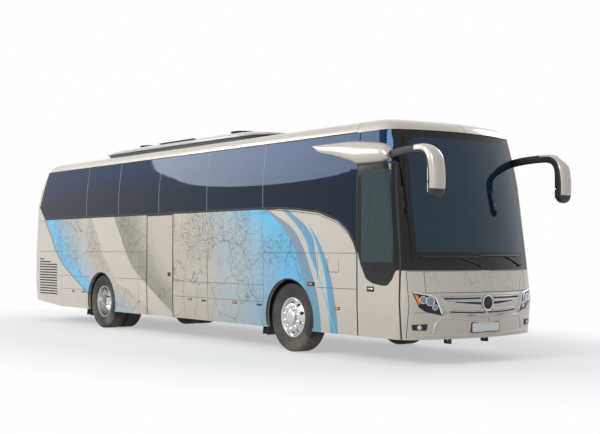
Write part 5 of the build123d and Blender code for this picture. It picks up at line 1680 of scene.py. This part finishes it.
class COACH_OT_stage(bpy.types.Operator):
    """Studio: pale floor and backdrop, three soft lamps, and the camera at the photograph's place."""
    bl_idname = "coach.stage"
    bl_label = "Studio stage"

    def execute(self, context):
        scene = context.scene
        scene.view_settings.view_transform = "Standard"
        yaw, pitch, roll = 0.91559, 0.03143, 0.0028
        d = Vector((-math.sin(yaw) * math.cos(pitch), math.cos(yaw) * math.cos(pitch), math.sin(pitch)))
        r = Vector((math.cos(yaw), math.sin(yaw), 0))
        u = r.cross(d)
        r2, u2 = math.cos(roll) * r + math.sin(roll) * u, math.cos(roll) * u - math.sin(roll) * r
        data = bpy.data.cameras.new("camera")
        data.lens, data.sensor_width, data.clip_end = 63.83, 36.0, 500.0
        camera = bpy.data.objects.new("camera", data)
        camera.matrix_world = Matrix((r2, u2, -d)).transposed().to_4x4()
        camera.location = (15.898, -10.862, 1.518)
        scene.collection.objects.link(camera)
        scene.camera = camera
        u, v = np.meshgrid(np.linspace(-90, 90, 40), np.linspace(-90, 90, 40), indexing="ij")
        points, quads = grid(np.stack([u, v, 0 * u], axis=-1))
        mesh = bpy.data.meshes.new("floor")
        mesh.from_pydata(points.tolist(), [], quads.tolist())
        floor = bpy.data.objects.new("floor", mesh)
        scene.collection.objects.link(floor)
        pale = bpy.data.materials.new("studio_floor")
        pale.use_nodes = True
        w = Wires(pale.node_tree)
        shader = pale.node_tree.nodes["Principled BSDF"]
        shader.inputs["Roughness"].default_value = 0.9
        shader.inputs["Specular IOR Level"].default_value = 0.1
        vector = w.vector()
        drift = w.math("MULTIPLY_ADD", w.noise(vector, 0.2), 0.06, 0.97)
        tint = w.node("CombineColor")
        for socket in tint.inputs:
            w.put(socket, drift)
        w.put(shader.inputs["Base Color"], w.mix(1.0, colour("floor"), tint.outputs[0], "MULTIPLY"))
        far = w.node("VectorMath", operation="LENGTH")
        w.put(far.inputs[0], w.scaled(vector, (1.0, 1.7, 1.0)))
        white = w.node("Emission")
        blend = w.node("MixShader")
        fade = w.math("MULTIPLY_ADD", w.span(far.outputs["Value"], 5.5, 11.0), 0.55, 0.45)
        w.put(blend.inputs[0], w.math("MULTIPLY", w.seen(), fade))
        w.put(blend.inputs[1], shader.outputs[0])
        w.put(blend.inputs[2], white.outputs[0])
        w.put(pale.node_tree.nodes["Material Output"].inputs[0], blend.outputs[0])
        mesh.materials.append(pale)
        world = bpy.data.worlds.new("studio")
        scene.world = world
        world.use_nodes = True
        w = Wires(world.node_tree)
        light = world.node_tree.nodes["Background"]
        direct = w.seen()
        z = w.node("SeparateXYZ")
        w.put(z.inputs[0], w.node("TexCoord").outputs["Generated"])
        up = w.mix(w.span(z.outputs[2], -0.05, 0.9), (0.86, 0.87, 0.88, 1), (0.74, 0.80, 0.90, 1))
        w.put(light.inputs["Color"], w.mix(direct, up, (1.0, 1.0, 1.0, 1)))
        w.put(light.inputs["Strength"], w.math("MULTIPLY_ADD", direct, 0.48, 0.52))
        for name, place, aim, power, wide in (("key", (5, -22, 14), (0, 0, 1.5), 2900, 9.0),
                                              ("fill", (-14, -12, 9), (-2, 0, 1.5), 900, 9.0),
                                              ("far_side", (2, 18, 12), (0, 0, 1.5), 900, 9.0)):
            lamp = bpy.data.lights.new(name, "AREA")
            lamp.energy, lamp.size, lamp.shape = power, wide, "DISK"
            holder = bpy.data.objects.new(name, lamp)
            holder.location = place
            holder.rotation_euler = (Vector(aim) - Vector(place)).to_track_quat("-Z", "Y").to_euler()
            scene.collection.objects.link(holder)
        return {"FINISHED"}


class COACH_PT_panel(bpy.types.Panel):
    """Lists the pieces of the coach and the values that shape them."""
    bl_idname = "COACH_PT_panel"
    bl_label = "Touring Coach"
    bl_space_type = "VIEW_3D"
    bl_region_type = "UI"
    bl_category = "Coach"

    def draw(self, context):
        for owner in (context.scene.coach_colours, context.scene.coach_sizes):
            for key in owner.__annotations__:
                self.layout.prop(owner, key)
        for operator in OPERATORS:
            self.layout.operator(operator.bl_idname)


OPERATORS = (COACH_OT_stage, COACH_OT_finishes, COACH_OT_side_glass, COACH_OT_windscreen,
             COACH_OT_front_door_glass, COACH_OT_rear_window, COACH_OT_roof, COACH_OT_roof_unit,
             COACH_OT_mouldings, COACH_OT_seams, COACH_OT_side_fittings, COACH_OT_mirrors,
             COACH_OT_fairings,
             COACH_OT_front_end, COACH_OT_headlamps, COACH_OT_rear_end, COACH_OT_tyres,
             COACH_OT_wheel_fittings, COACH_OT_seats)


def register():
    for cls in (CoachColours, CoachSizes, COACH_PT_panel) + OPERATORS:
        bpy.utils.register_class(cls)
    bpy.types.Scene.coach_colours = PointerProperty(type=CoachColours)
    bpy.types.Scene.coach_sizes = PointerProperty(type=CoachSizes)


def unregister():
    del bpy.types.Scene.coach_colours
    del bpy.types.Scene.coach_sizes
    for cls in reversed((CoachColours, CoachSizes, COACH_PT_panel) + OPERATORS):
        bpy.utils.unregister_class(cls)


def main():
    register()
    for operator in OPERATORS:
        group_name, name = operator.bl_idname.split(".")
        getattr(getattr(bpy.ops, group_name), name)()


if __name__ == "__main__":
    main()
